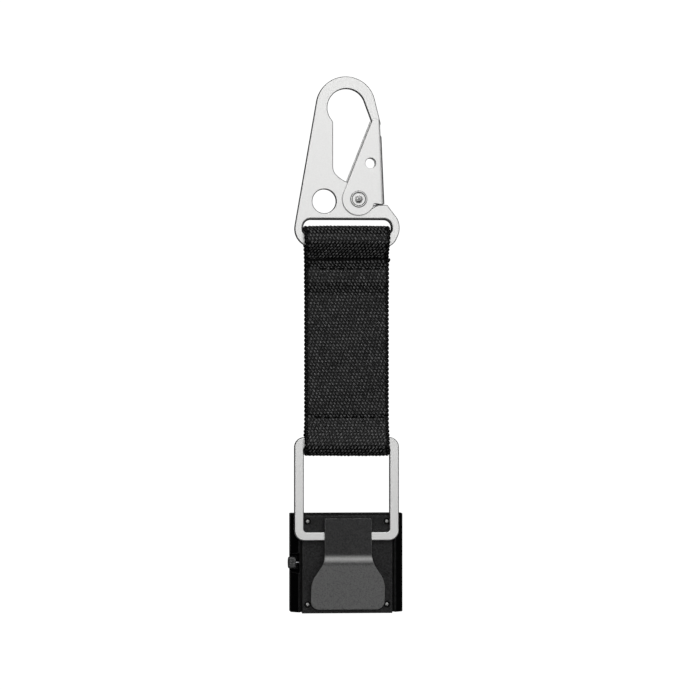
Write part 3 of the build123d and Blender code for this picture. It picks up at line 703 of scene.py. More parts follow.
FINISHES: dict[str, Finish] = {
    "satin_steel": Finish(
        "satin_steel", Surface.METAL, (0.79, 0.79, 0.785), (0.89, 0.89, 0.88), (0.3, 0.38),
        metallic=1.0, grain=0.45, contrast=2.2, bump=0.2, bump_depth=0.012,
    ),
    "rivet_steel": Finish(
        "rivet_steel", Surface.METAL, (0.6, 0.6, 0.6), (0.8, 0.8, 0.79), (0.16, 0.26),
        metallic=1.0, grain=0.3, bump=0.1,
    ),
    "spring_steel": Finish(
        "spring_steel", Surface.METAL, (0.4, 0.4, 0.42), (0.55, 0.55, 0.56), (0.2, 0.32),
        metallic=1.0, grain=0.3, bump=0.1,
    ),
    "screw_steel": Finish(
        "screw_steel", Surface.METAL, (0.25, 0.25, 0.25), (0.42, 0.42, 0.41), (0.2, 0.3),
        metallic=1.0, grain=0.2, bump=0.05,
    ),
    "crown_black": Finish(
        "crown_black", Surface.COATING, (0.004, 0.004, 0.004), (0.02, 0.02, 0.02), (0.25, 0.35),
        grain=0.2, wear_and_glint=(0.4, 0.4, 0.4), specular=0.5,
    ),
    # The webbing's pale crest colour is a painted highlight: glints of the lamps on the yarn floats.
    "webbing": Finish(
        "webbing", Surface.YARN, (0.001, 0.001, 0.0011), (0.006, 0.006, 0.0062), (0.3, 0.42),
        grain=0.07, bump=0.5, bump_depth=0.03, wear_and_glint=(0.3, 0.3, 0.303), specular=0.25,
    ),
    "thread": Finish(
        "thread", Surface.YARN, (0.001, 0.001, 0.001), (0.004, 0.004, 0.004), (0.45, 0.6),
        grain=0.05, bump=0.5, bump_depth=0.02, specular=0.12,
    ),
    "black_metal": Finish(
        "black_metal", Surface.COATING, (0.001, 0.001, 0.0012), (0.003, 0.003, 0.0032), (0.28, 0.4),
        grain=0.3, contrast=2.0, bump=0.1, wear_and_glint=(0.03, 0.03, 0.03), specular=0.12,
    ),
    "black_plate": Finish(
        "black_plate", Surface.COATING, (0.001, 0.001, 0.0012), (0.06, 0.06, 0.061), (0.34, 0.5),
        grain=0.45, contrast=4.0, bump=0.35, bump_depth=0.05, wear_and_glint=(0.1, 0.1, 0.1), specular=0.2,
    ),
    "black_clip": Finish(
        "black_clip", Surface.COATING, (0.02, 0.02, 0.0203), (0.085, 0.085, 0.086), (0.34, 0.48),
        grain=0.45, contrast=4.0, bump=0.35, bump_depth=0.05, wear_and_glint=(0.3, 0.3, 0.3), specular=0.25,
        # Painted light: the paddle is painted paler and the bend carries a painted highlight, for the
        # light these tilted faces catch.
        painted_light_bands=(
            PaintedLightBand(-137.0, -151.0, 0.9, (0.31, 0.31, 0.31)),
            PaintedLightBand(-134.9, -136.2, 0.8, (0.95, 0.95, 0.94), 0.15),
        ),
    ),
    "seal": Finish(
        "seal", Surface.POLYMER, (0.008, 0.008, 0.008), (0.02, 0.02, 0.02), (0.6, 0.75), grain=0.2,
    ),
    "brass": Finish(
        "brass", Surface.METAL, (0.55, 0.38, 0.13), (0.75, 0.55, 0.22), (0.22, 0.36),
        metallic=1.0, grain=0.15, bump=0.15,
    ),
    "plastic": Finish(
        "plastic", Surface.POLYMER, (0.5, 0.5, 0.47), (0.62, 0.62, 0.58), (0.42, 0.55), grain=0.3,
    ),
    "battery_steel": Finish(
        "battery_steel", Surface.METAL, (0.55, 0.55, 0.53), (0.7, 0.7, 0.67), (0.2, 0.34),
        metallic=1.0, grain=0.25, bump=0.1,
    ),
    "board": Finish(
        "board", Surface.POLYMER, (0.01, 0.07, 0.03), (0.02, 0.13, 0.05), (0.25, 0.4),
        grain=0.4, bump=0.1, coat=0.4,
    ),
    "copper": Finish(
        "copper", Surface.METAL, (0.55, 0.2, 0.07), (0.8, 0.36, 0.15), (0.2, 0.34),
        metallic=1.0, grain=0.06, bump=0.5, bump_depth=0.03,
    ),
    "dial_black": Finish(
        "dial_black", Surface.COATING, (0.006, 0.006, 0.008), (0.015, 0.015, 0.018), (0.4, 0.55),
        grain=0.08, bump=0.15,
    ),
    "marker": Finish(
        "marker", Surface.METAL, (0.72, 0.72, 0.7), (0.85, 0.85, 0.83), (0.15, 0.25),
        metallic=1.0, grain=0.1, bump=0.05,
    ),
    "crystal": Finish(
        "crystal", Surface.GLASS, (0.93, 0.95, 0.96), (0.97, 0.98, 0.99), (0.0, 0.02),
        grain=2.0, bump=0.0,
    ),
}


class Wardrobe:
    """Builds every finish once and dresses pieces in them."""

    def __init__(self) -> None:
        """Builds the shared groups and every material."""
        shaders = Shaders()
        self.materials = {name: finish.build(shaders) for name, finish in FINISHES.items()}

    def dress(self, piece: bpy.types.Object, slot: str) -> None:
        """Gives a piece one finish all over.

        Args:
            piece: The piece to dress.
            slot: The record's material slot.
        """
        piece.data.materials.clear()
        piece.data.materials.append(self.materials[slot])
        piece.data.polygons.foreach_set("material_index", [0] * len(piece.data.polygons))

    def dress_frame(self, frame: dict) -> None:
        """Gives every carried-over CAD node the finish of its own slot.
        """
        for subpart in frame["record"]["subparts"]:
            node = frame["nodes"][subpart["node"]]
            node.material_slots[0].link = "DATA"
            node.material_slots[0].material = self.materials[subpart["material_slot"]]


# ---------------------------------------------------------------------------
# Hook, gate and rivet
# ---------------------------------------------------------------------------


@dataclass
class Hook:
    """The carry hook: a thick satin plate, a folded gate, a rolled rivet and the gate's spring."""

    plate_rounding: float = 0.3
    gate_rounding: float = 0.2
    pivot: tuple[float, float] = (3.35, -31.84)
    rivet_profile: tuple[tuple[float, float], ...] = (
        (1.9, -2.82), (2.25, -2.76), (2.42, -2.62), (2.45, -2.5), (2.45, -2.43), (2.4, -2.37),
        (1.4, -2.37), (1.4, 2.37), (2.38, 2.37), (2.45, 2.42), (2.45, 2.58), (2.41, 2.7),
        (2.3, 2.79), (2.14, 2.82), (2.0, 2.79), (1.9, 2.7), (1.84, 2.58), (1.76, 2.5),
        (1.5, 2.47), (1.15, 2.47), (1.02, 2.51), (0.97, 2.6), (0.88, 2.69), (0.68, 2.75),
        (0.4, 2.77), (0.12, 2.775),
    )
    wire: float = 0.42
    coil_radius: float = 1.98
    turns: int = 3
    spine_top: tuple[float, float] = (10.0, -13.9)
    spine_foot: tuple[float, float] = (10.85, -33.15)
    bend_radius: float = 0.75
    bend_shown: float = 1.2
    cheek_face: float = 2.32
    foot_drop: float = 0.2
    foot_size: tuple[float, float] = (1.3, 0.4)
    slack: float = 0.02
    overshoot: float = 0.1
    core_radius: float = 1.1
    core_face: float = -2.4
    core_rough: tuple[float, float, float] = (0.03, 0.035, 0.03)

    def build(self, frame: dict, wardrobe: Wardrobe) -> None:
        """Builds, dresses and hangs every piece of the hook.

        Args:
            wardrobe: The finishes.
        """
        nodes = frame["nodes"]
        plate = refined_copy(nodes["hook_plate"], "hook_body", self.plate_rounding, 3)
        finish_piece(plate, wardrobe, "satin_steel", "hook", "hook_plate")
        gate = refined_copy(nodes["gate"], "hook_gate", self.gate_rounding, 2)
        self._ease_spine(gate)
        finish_piece(gate, wardrobe, "satin_steel", "gate", "gate")
        rivet = self._rivet()
        finish_piece(rivet, wardrobe, "rivet_steel", "hook", "gate_rivet")
        spring = self._spring()
        finish_piece(spring, wardrobe, "spring_steel", "hook", "gate_spring")

    def _ease_spine(self, gate: bpy.types.Object) -> None:
        """Widens the bends along the gate's spine and lets its foot down nearly to the shoulder.

        Args:
            gate: The gate, already rounded.
        """
        points = mesh_points(gate) / MM
        (top_x, top_z), (foot_x, foot_z) = self.spine_top, self.spine_foot
        spine_x = top_x + (foot_x - top_x) * (points[:, 2] - top_z) / (foot_z - top_z)
        inset = spine_x - points[:, 0]
        bent = (inset < self.bend_radius + self.slack) & (inset > -self.overshoot)
        bent &= np.abs(points[:, 1]) > self.cheek_face - self.bend_radius - self.slack
        bent &= (points[:, 2] < top_z) & (points[:, 2] > foot_z - self.overshoot)
        points[bent, 0] = (spine_x - inset * self.bend_shown / self.bend_radius)[bent]
        wide, tall = self.foot_size
        foot = (points[:, 2] < foot_z + tall) & (points[:, 0] > spine_x - wide)
        points[foot, 2] -= self.foot_drop
        set_mesh_points(gate, points * MM)

    def _rivet(self) -> bpy.types.Object:
        """Turns the rivet and roughens the upset core of its near head."""
        x, z = self.pivot
        rivet = turned_piece(
            "rolled_rivet", self.rivet_profile, (x * MM, 0, z * MM), Axis.Y, flip=True, segments=96
        )
        chance = np.random.default_rng(SEED)
        for vertex in rivet.data.vertices:
            reach = math.hypot(vertex.co.x - x * MM, vertex.co.z - z * MM) / MM
            if vertex.co.y < self.core_face * MM and reach < self.core_radius:
                for k in (1, 0, 2):
                    vertex.co[k] += chance.normal(0, self.core_rough[k]) * MM
        return rivet

    def _spring(self) -> bpy.types.Object:
        """Winds the gate's torsion spring and adds the leg on the gate and the leg at rest."""
        x, z = self.pivot
        deselect_all()
        bpy.ops.mesh.primitive_circle_add(
            vertices=12, radius=self.wire / 2 * MM, fill_type="NOTHING",
            location=(self.coil_radius * MM, 0, 0), rotation=(math.radians(90), 0, 0),
        )
        coil = bpy.context.object
        settle(coil)
        winding = coil.modifiers.new("winding", "SCREW")
        winding.axis = "Z"
        winding.angle = math.radians(360 * self.turns - 100)
        winding.screw_offset = (self.wire + 0.005) * MM * self.turns
        winding.steps = 32 * self.turns
        winding.render_steps = 32 * self.turns
        winding.use_merge_vertices = True
        apply_modifiers(coil)
        activate(coil)
        bpy.ops.object.mode_set(mode="EDIT")
        bpy.ops.mesh.select_all(action="DESELECT")
        bpy.ops.mesh.select_non_manifold()
        bpy.ops.mesh.fill_holes(sides=0)
        bpy.ops.object.mode_set(mode="OBJECT")
        push = self._leg(5.4, (2.9, self.coil_radius, 0.45), 0)
        rest = self._leg(3.6, (4.25, -1.95, -0.45), 12)
        spring = join([coil, push, rest], "torsion_spring")
        spring.data.transform(
            Matrix.Translation((x * MM, 0.16 * MM, z * MM)) @ Matrix.Rotation(math.radians(-90), 4, "X")
            @ Matrix.Scale(-1, 4, (0, 1, 0))
        )
        return close_up(spring, 50)

    def _leg(self, length: float, place: Sequence[float], turn: float) -> bpy.types.Object:
        """Adds one straight leg of the spring's wire.

        Args:
            length: The leg's length, in millimetres.
            place: Its middle, in millimetres.
            turn: Its turn about the coil's axis, in degrees.

        Returns:
            The leg.
        """
        deselect_all()
        bpy.ops.mesh.primitive_cylinder_add(
            vertices=12, radius=self.wire / 2 * MM, depth=length * MM,
            location=[value * MM for value in place],
            rotation=(0, math.radians(90), math.radians(turn)),
        )
        return settle(bpy.context.object)


def finish_piece(
    piece: bpy.types.Object, wardrobe: Wardrobe, slot: str, body: str, *stands_for: str,
    finish: Optional[str] = None,
) -> None:
    """Dresses a piece, rides it on a body and hides what it stands for.

    Args:
        piece: The finished mesh.
        wardrobe: The finishes.
        slot: The record's material slot.
        body: The CAD body that the piece moves with.
        stands_for: CAD nodes that the piece replaces.
        finish: A finish to use in place of the slot's own.
    """
    wardrobe.dress(piece, finish or slot)
    if stands_for:
        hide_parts(*stands_for)
    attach(piece, body)
    logger.info("%s: %d faces, rides on %s", piece.name, len(piece.data.polygons), body)


# ---------------------------------------------------------------------------
# Webbing strap
# ---------------------------------------------------------------------------


@dataclass
class StrapRoute:
    """The strap's middle line, seen from the side: straight runs with rounded corners.

    Points are (y, z) in millimetres. Distance along the line starts at the seam's cut end.
    """

    points: tuple[tuple[float, float], ...] = (
        (-1.9, -49.0), (-1.35, -51.0), (-1.35, -55.8), (-0.675, -59.0), (-0.675, -96.5),
        (-2.75, -102.0), (-2.75, -105.35), (2.75, -105.35), (2.75, -102.0), (0.675, -96.5),
        (0.675, -59.0), (1.35, -55.8), (1.35, -50.5), (3.25, -44.0), (3.25, -40.05),
        (-3.25, -40.05), (-3.25, -44.6), (0.0, -49.4), (0.0, -55.0),
    )
    radii: tuple[float, ...] = (3, 4, 4, 4, 3, 2.7, 2.7, 3, 4, 4, 4, 4, 3, 3.2, 3.2, 3, 1.6)
    _length: np.ndarray = field(init=False, repr=False)
    _place: np.ndarray = field(init=False, repr=False)
    _heading: np.ndarray = field(init=False, repr=False)

    def __post_init__(self) -> None:
        """Rounds the corners and measures the line."""
        corners = [np.array(p, float) for p in self.points]
        places, headings = [corners[0]], [self._angle(corners[1] - corners[0])]
        for before, corner, after, radius in zip(corners, corners[1:], corners[2:], self.radii):
            inward = (corner - before) / np.linalg.norm(corner - before)
            outward = (after - corner) / np.linalg.norm(after - corner)
            start_angle = headings[-1]
            turn = self._wrap(self._angle(outward) - self._angle(inward))
            cut = radius * math.tan(abs(turn) / 2)
            start = corner - inward * cut
            side = np.array([-inward[1], inward[0]]) * math.copysign(1, turn)
            centre = start + side * radius
            for step in range(25):
                part = turn * step / 24
                spin = np.array([[math.cos(part), -math.sin(part)], [math.sin(part), math.cos(part)]])
                places.append(centre + spin @ (start - centre))
                headings.append(start_angle + part)
        places.append(corners[-1])
        headings.append(headings[-1])
        self._place = np.array(places)
        self._heading = np.array(headings)
        steps = np.linalg.norm(np.diff(self._place, axis=0), axis=1)
        self._length = np.concatenate([[0], np.cumsum(np.maximum(steps, 1e-6))])

    @staticmethod
    def _angle(direction: np.ndarray) -> float:
        """Angle of a direction in the (y, z) plane."""
        return math.atan2(direction[1], direction[0])

    @staticmethod
    def _wrap(angle: float) -> float:
        """Brings an angle into the half turn either side of zero."""
        return (angle + math.pi) % (2 * math.pi) - math.pi

    @property
    def length(self) -> float:
        """Whole length of the line, in millimetres."""
        return float(self._length[-1])

    def lay(self, flat: np.ndarray) -> np.ndarray:
        """Wraps flat points round the route.

        Args:
            flat: Rows of (across, along, height above the middle line), in millimetres.

        Returns:
            Rows of (x, y, z) in metres.
        """
        along = flat[:, 1]
        y = np.interp(along, self._length, self._place[:, 0])
        z = np.interp(along, self._length, self._place[:, 1])
        heading = np.interp(along, self._length, self._heading)
        out_y, out_z = np.sin(heading), -np.cos(heading)
        laid = np.stack([flat[:, 0], y + out_y * flat[:, 2], z + out_z * flat[:, 2]], axis=1)
        return laid * MM

    def where(self, along: np.ndarray) -> np.ndarray:
        """Depths (y) and heights (z) of the middle line, in millimetres, at distances along it."""
        return np.stack(
            [np.interp(along, self._length, self._place[:, k]) for k in range(2)], axis=-1
        )


def mesh_points(piece: bpy.types.Object) -> np.ndarray:
    """Reads a mesh's points.

    Args:
        piece: The object to read.

    Returns:
        Rows of (x, y, z) in the mesh's own units.
    """
    flat = np.empty(len(piece.data.vertices) * 3)
    piece.data.vertices.foreach_get("co", flat)
    return flat.reshape(-1, 3)


def set_mesh_points(piece: bpy.types.Object, points: np.ndarray) -> None:
    """Writes a mesh's points.

    Args:
        piece: The object to change.
        points: Rows of (x, y, z), one per vertex.
    """
    piece.data.vertices.foreach_set("co", points.reshape(-1))
    piece.data.update()


@dataclass
class Strap:
    """A folded loop of twill webbing: a ground, slanted yarn floats, selvages and stitches.

    In the crossed stretches the floats slant the other way. A stretch below zero is counted back
    from the route's end. A loop is its height, its reach and its share of the spread.
    """

    route: StrapRoute = field(default_factory=StrapRoute)
    half_width: float = 12.25
    across: float = 1.01
    slant: float = 0.74
    along: float = 0.93
    float_length: float = 1.2
    float_width: float = 0.64
    float_height: float = 0.46
    float_seat: float = 0.4
    columns: int = 22
    ground_out: float = 0.34
    ground_in: float = -0.6
    selvage_pitch: float = 1.2
    seam_tilt: float = 0.018
    rows: tuple[tuple[float, int], ...] = ((-51.9, 7), (-94.7, 8))
    row_x: float = 0.9
    stitch_pitch: float = 2.6
    stitch_length: float = 1.75
    press: float = 0.2
    loop_spread: float = 0.024
    corner_out: float = 0.55
    crossed: tuple[tuple[float, float], ...] = ((50.5, 58.0), (-12.5, 0.0))
    bare_end: float = 5.2
    row_reach: float = 0.75
    hole_press: float = 0.16
    hole_reach: float = 0.42
    loops: tuple[tuple[float, float, float], ...] = ((-41.5, 3.5, 1.0), (-102.0, 4.0, 0.4))
    fade_length: float = 2.5
    corner_length: float = 0.8
    wave: tuple[float, float, float] = (0.05, 0.55, 0.2)
    size_spread: float = 0.05
    lean_spread: float = 0.06
    place_spread: float = 0.03
    seat_spread: float = 0.015
    crest_from: float = 0.22
    dive_depth: float = 0.1
    pick: tuple[float, float, float] = (1.25, 1.5, 1.16)
    pick_tilt: float = -24.0
    pick_inset: float = 0.62
    pick_start: float = 0.7
    pick_seat: float = 0.02
    pick_stop: float = 4.8

    def build(self, wardrobe: Wardrobe) -> None:
        """Builds, dresses and hangs every piece of the strap.

        Args:
            wardrobe: The finishes.
        """
        ground = self._ground()
        finish_piece(ground, wardrobe, "webbing", "strap", "webbing_strap")
        whole = self.route.length - self.bare_end
        middle = whole / 2
        for name, start, end in (("front_yarns", 0.35, middle), ("back_yarns", middle, whole)):
            finish_piece(self._floats(name, start, end), wardrobe, "webbing", "strap")
        finish_piece(self._selvages(), wardrobe, "webbing", "strap")
        for (z, count), node in zip(self.rows, ("upper_stitching", "lower_stitching")):
            row = self._stitches(node + "_threads", z, count)
            finish_piece(row, wardrobe, "thread", "strap", node)

    def _press_down(self, flat: np.ndarray) -> np.ndarray:
        """Depth that the stitches pull the webbing in by, for flat points.

        Args:
            flat: Rows of (across, along, height).

        Returns:
            One depth per point, in millimetres.
        """
        where = self.route.where(flat[:, 1])
        depth = np.zeros(len(flat))
        for z, count in self.rows:
            near = np.abs(where[:, 1] - z)
            depth += self.press * np.exp(-((near / self.row_reach) ** 2))
            for number in range(count + 1):
                hole = self.row_x + (number - count / 2) * self.stitch_pitch
                gap = np.hypot(flat[:, 0] - hole, near)
                depth += self.hole_press * np.exp(-((gap / self.hole_reach) ** 2))
        return depth

    def _lay(self, piece: bpy.types.Object, flat: np.ndarray) -> None:
        """Presses flat points at the stitches, tilts the cut end and wraps them round the route.

        Args:
            piece: The object to write.
            flat: Rows of (across, along, height), in millimetres.
        """
        flat = flat.copy()
        outside = np.clip(flat[:, 2] / self.ground_out, 0, 1)
        flat[:, 2] -= self._press_down(flat) * outside
        heights = self.route.where(flat[:, 1])[:, 1]
        loops = sum(
            share * np.exp(-(((heights - z) / reach) ** 2)) for z, reach, share in self.loops
        )
        flat[:, 0] *= 1 + self.loop_spread * loops
        fade = np.exp(-np.maximum(flat[:, 1], 0) / self.fade_length)
        corner = np.exp(-((flat[:, 1] / self.corner_length) ** 2))
        corner = corner * np.clip(flat[:, 0] / self.half_width, 0, 1) ** 4
        flat[:, 0] += self.corner_out * corner
        flat[:, 1] -= self.seam_tilt * flat[:, 0] * fade
        swell, along, across = self.wave
        flat[:, 2] += swell * np.sin(flat[:, 1] * along + flat[:, 0] * across) * (1 - fade)
        set_mesh_points(piece, self.route.lay(flat))

    def _ground(self) -> bpy.types.Object:
        """Makes the closed ribbon that the yarns lie on."""
        length = self.route.length
        deselect_all()
        bpy.ops.mesh.primitive_grid_add(x_subdivisions=26, y_subdivisions=int(length / 0.35), size=1)
        ribbon = bpy.context.object
        rename(ribbon, "webbing_ground")
        ribbon.scale = (2 * (self.half_width - 0.35), length, 1)
        ribbon.location = (0, length / 2, self.ground_in)
        settle(ribbon)
        body = ribbon.modifiers.new("body", "SOLIDIFY")
        body.thickness = self.ground_out - self.ground_in
        body.offset = 1
        apply_modifiers(ribbon)
        flat = mesh_points(ribbon)
        self._lay(ribbon, flat)
        return close_up(ribbon, 45)

    def _floats(self, name: str, start: float, end: float) -> bpy.types.Object:
        """Lays one slanted yarn float per crossing of the weave.

        Args:
            name: The piece's name.
            start: Distance along the route where the floats start.
            end: Distance along the route where they stop.

        Returns:
            The finished piece.
        """
        deselect_all()
        bpy.ops.mesh.primitive_uv_sphere_add(segments=8, ring_count=6, radius=0.5)
        weave = bpy.context.object
        rename(weave, name)
        weave.rotation_euler = (0, math.radians(90), 0)
        settle(weave)
        weave.scale = (self.float_length, self.float_width, self.float_height)
        settle(weave)
        weave.rotation_euler = (0, 0, math.atan2(self.along, self.slant))
        settle(weave)
        per_float = len(weave.data.vertices)
        first = math.ceil(start / self.along)
        repeat(weave, "across", (self.across, 0, 0), self.columns)
        rows = int((end - start) / self.along)
        repeat(weave, "rows", (self.slant - self.across, self.along, 0), rows)
        apply_modifiers(weave)
        flat = mesh_points(weave)
        flat[:, 0] += first * (self.slant - self.across) - self.across * (self.columns - 1) / 2
        flat[:, 1] += first * self.along
        flat, crests = self._loosen(flat.reshape(-1, per_float, 3), SEED + first)
        self._lay(weave, flat)
        # The crests take the webbing's painted glints.
        mark_crests(weave, crests)
        return close_up(weave, 60)

    def _loosen(self, floats: np.ndarray, seed: int) -> tuple[np.ndarray, np.ndarray]:
        """Wraps floats into the strap's width, then varies their size, lean, place and seat.

        Args:
            floats: One block of (across, along, height) rows per float, in millimetres.
            seed: Seed of the random draws.

        Returns:
            Rows of (across, along, height), and how far each point stands out on its crest.
        """
        centres = floats.mean(axis=1)
        local = floats - centres[:, None]
        band = self.columns * self.across
        centres[:, 0] -= np.floor((centres[:, 0] + band / 2) / band) * band
        chance = np.random.default_rng(seed)
        number = len(centres)
        local = local * (1 + chance.normal(0, self.size_spread, (number, 1, 3)))
        lean = chance.normal(0, self.lean_spread, number)
        cos, sin = np.cos(lean)[:, None], np.sin(lean)[:, None]
        turned = local.copy()
        turned[..., 0] = local[..., 0] * cos - local[..., 1] * sin
        turned[..., 1] = local[..., 0] * sin + local[..., 1] * cos
        centres[:, :2] += chance.normal(0, self.place_spread, (number, 2))
        centres[:, 2] = self.float_seat + chance.normal(0, self.seat_spread, number)
        crests = (turned[..., 2] / self.float_height - self.crest_from) / self.crest_from
        # One end of each float dives under its neighbour.
        dive = (turned[..., 0] * self.slant + turned[..., 1] * self.along) / self.float_length
        turned[..., 2] -= self.dive_depth * dive
        for low, high in self.crossed:
            ends = (low, high) if low >= 0 else (self.route.length + low, self.route.length)
            inside = (centres[:, 1] > ends[0]) & (centres[:, 1] < ends[1])
            centres[inside, 0] *= -1
            turned[inside, :, 0] *= -1
        return (turned + centres[:, None]).reshape(-1, 3), crests

    def _selvages(self) -> bpy.types.Object:
        """Lays the bound edges: a row of plump picks down each side."""
        edges = []
        count = int((self.route.length - self.pick_stop) / self.selvage_pitch)
        for side in (-1, 1):
            deselect_all()
            bpy.ops.mesh.primitive_uv_sphere_add(segments=10, ring_count=6, radius=0.5)
            edge = bpy.context.object
            edge.scale = self.pick
            edge.rotation_euler = (0, 0, side * math.radians(self.pick_tilt))
            settle(edge)
            repeat(edge, "rows", (0, self.selvage_pitch, 0), count)
            apply_modifiers(edge)
            across = side * (self.half_width - self.pick_inset)
            move_mesh(edge, (across, self.pick_start, self.pick_seat))
            self._lay(edge, mesh_points(edge))
            edges.append(edge)
        return close_up(join(edges, "selvage_picks"), 60)

    def _stitches(self, name: str, z: float, count: int) -> bpy.types.Object:
        """Makes one row of two-ply stitches on the front and the back of the strap.

        Args:
            name: The piece's name.
            z: Height of the row, in millimetres.
            count: Stitches in the row.

        Returns:
            The finished row.
        """
        thread = self._thread()
        front = min(self._distances_at(z))
        back = [s for s in self._distances_at(z) if self.route.where(np.array([s]))[0, 0] > 0.3][0]
        stitches = []
        for distance in (front, back):
            for number in range(count):
                stitch = copy_of(thread, name)
                points = mesh_points(stitch)
                points[:, 0] += self.row_x + (number - (count - 1) / 2) * self.stitch_pitch
                points[:, 1] += distance
                set_mesh_points(stitch, self.route.lay(points))
                stitches.append(stitch)
        bpy.data.objects.remove(thread)
        return close_up(join(stitches, name), 60)

    def _distances_at(self, z: float) -> list[float]:
        """Distances along the route at which it passes a height."""
        along = np.linspace(0, self.route.length, 4000)
        heights = self.route.where(along)[:, 1] - z
        return [float(along[i]) for i in np.nonzero(np.diff(np.sign(heights)))[0]]

    def _thread(self) -> bpy.types.Object:
        """Models one stitch: two plies twisted together, sinking at both ends."""
        steps = 22
        deselect_all()
        bpy.ops.mesh.primitive_circle_add(
            vertices=14, radius=0.2, fill_type="NGON", rotation=(0, math.radians(90), 0)
        )
        thread = bpy.context.object
        settle(thread)
        points = mesh_points(thread)
        angle = np.arctan2(points[:, 2], points[:, 1])
        points[:, 1:] *= (0.62 + 0.38 * np.abs(np.cos(angle)))[:, None]
        set_mesh_points(thread, points)
        bpy.ops.object.mode_set(mode="EDIT")
        bpy.ops.mesh.select_all(action="SELECT")
        for _ in range(steps):
            bpy.ops.mesh.extrude_region_move(TRANSFORM_OT_translate={"value": (1 / steps, 0, 0)})
        bpy.ops.object.mode_set(mode="OBJECT")
        points = mesh_points(thread)
        along = points[:, 0] * 2 - 1
        twist = points[:, 0] * math.tau * 1.15
        y, height = points[:, 1].copy(), points[:, 2].copy()
        points[:, 1] = y * np.cos(twist) - height * np.sin(twist)
        points[:, 2] = y * np.sin(twist) + height * np.cos(twist)
        points[:, 1:] *= (1 - 0.35 * np.abs(along) ** 6)[:, None]
        points[:, 0] = along * self.stitch_length / 2 * 1.04
        points[:, 2] += 0.6 - 0.42 * np.abs(along) ** 3.5
        set_mesh_points(thread, points)
        return thread


# ---------------------------------------------------------------------------
# Watch and clip
# ---------------------------------------------------------------------------


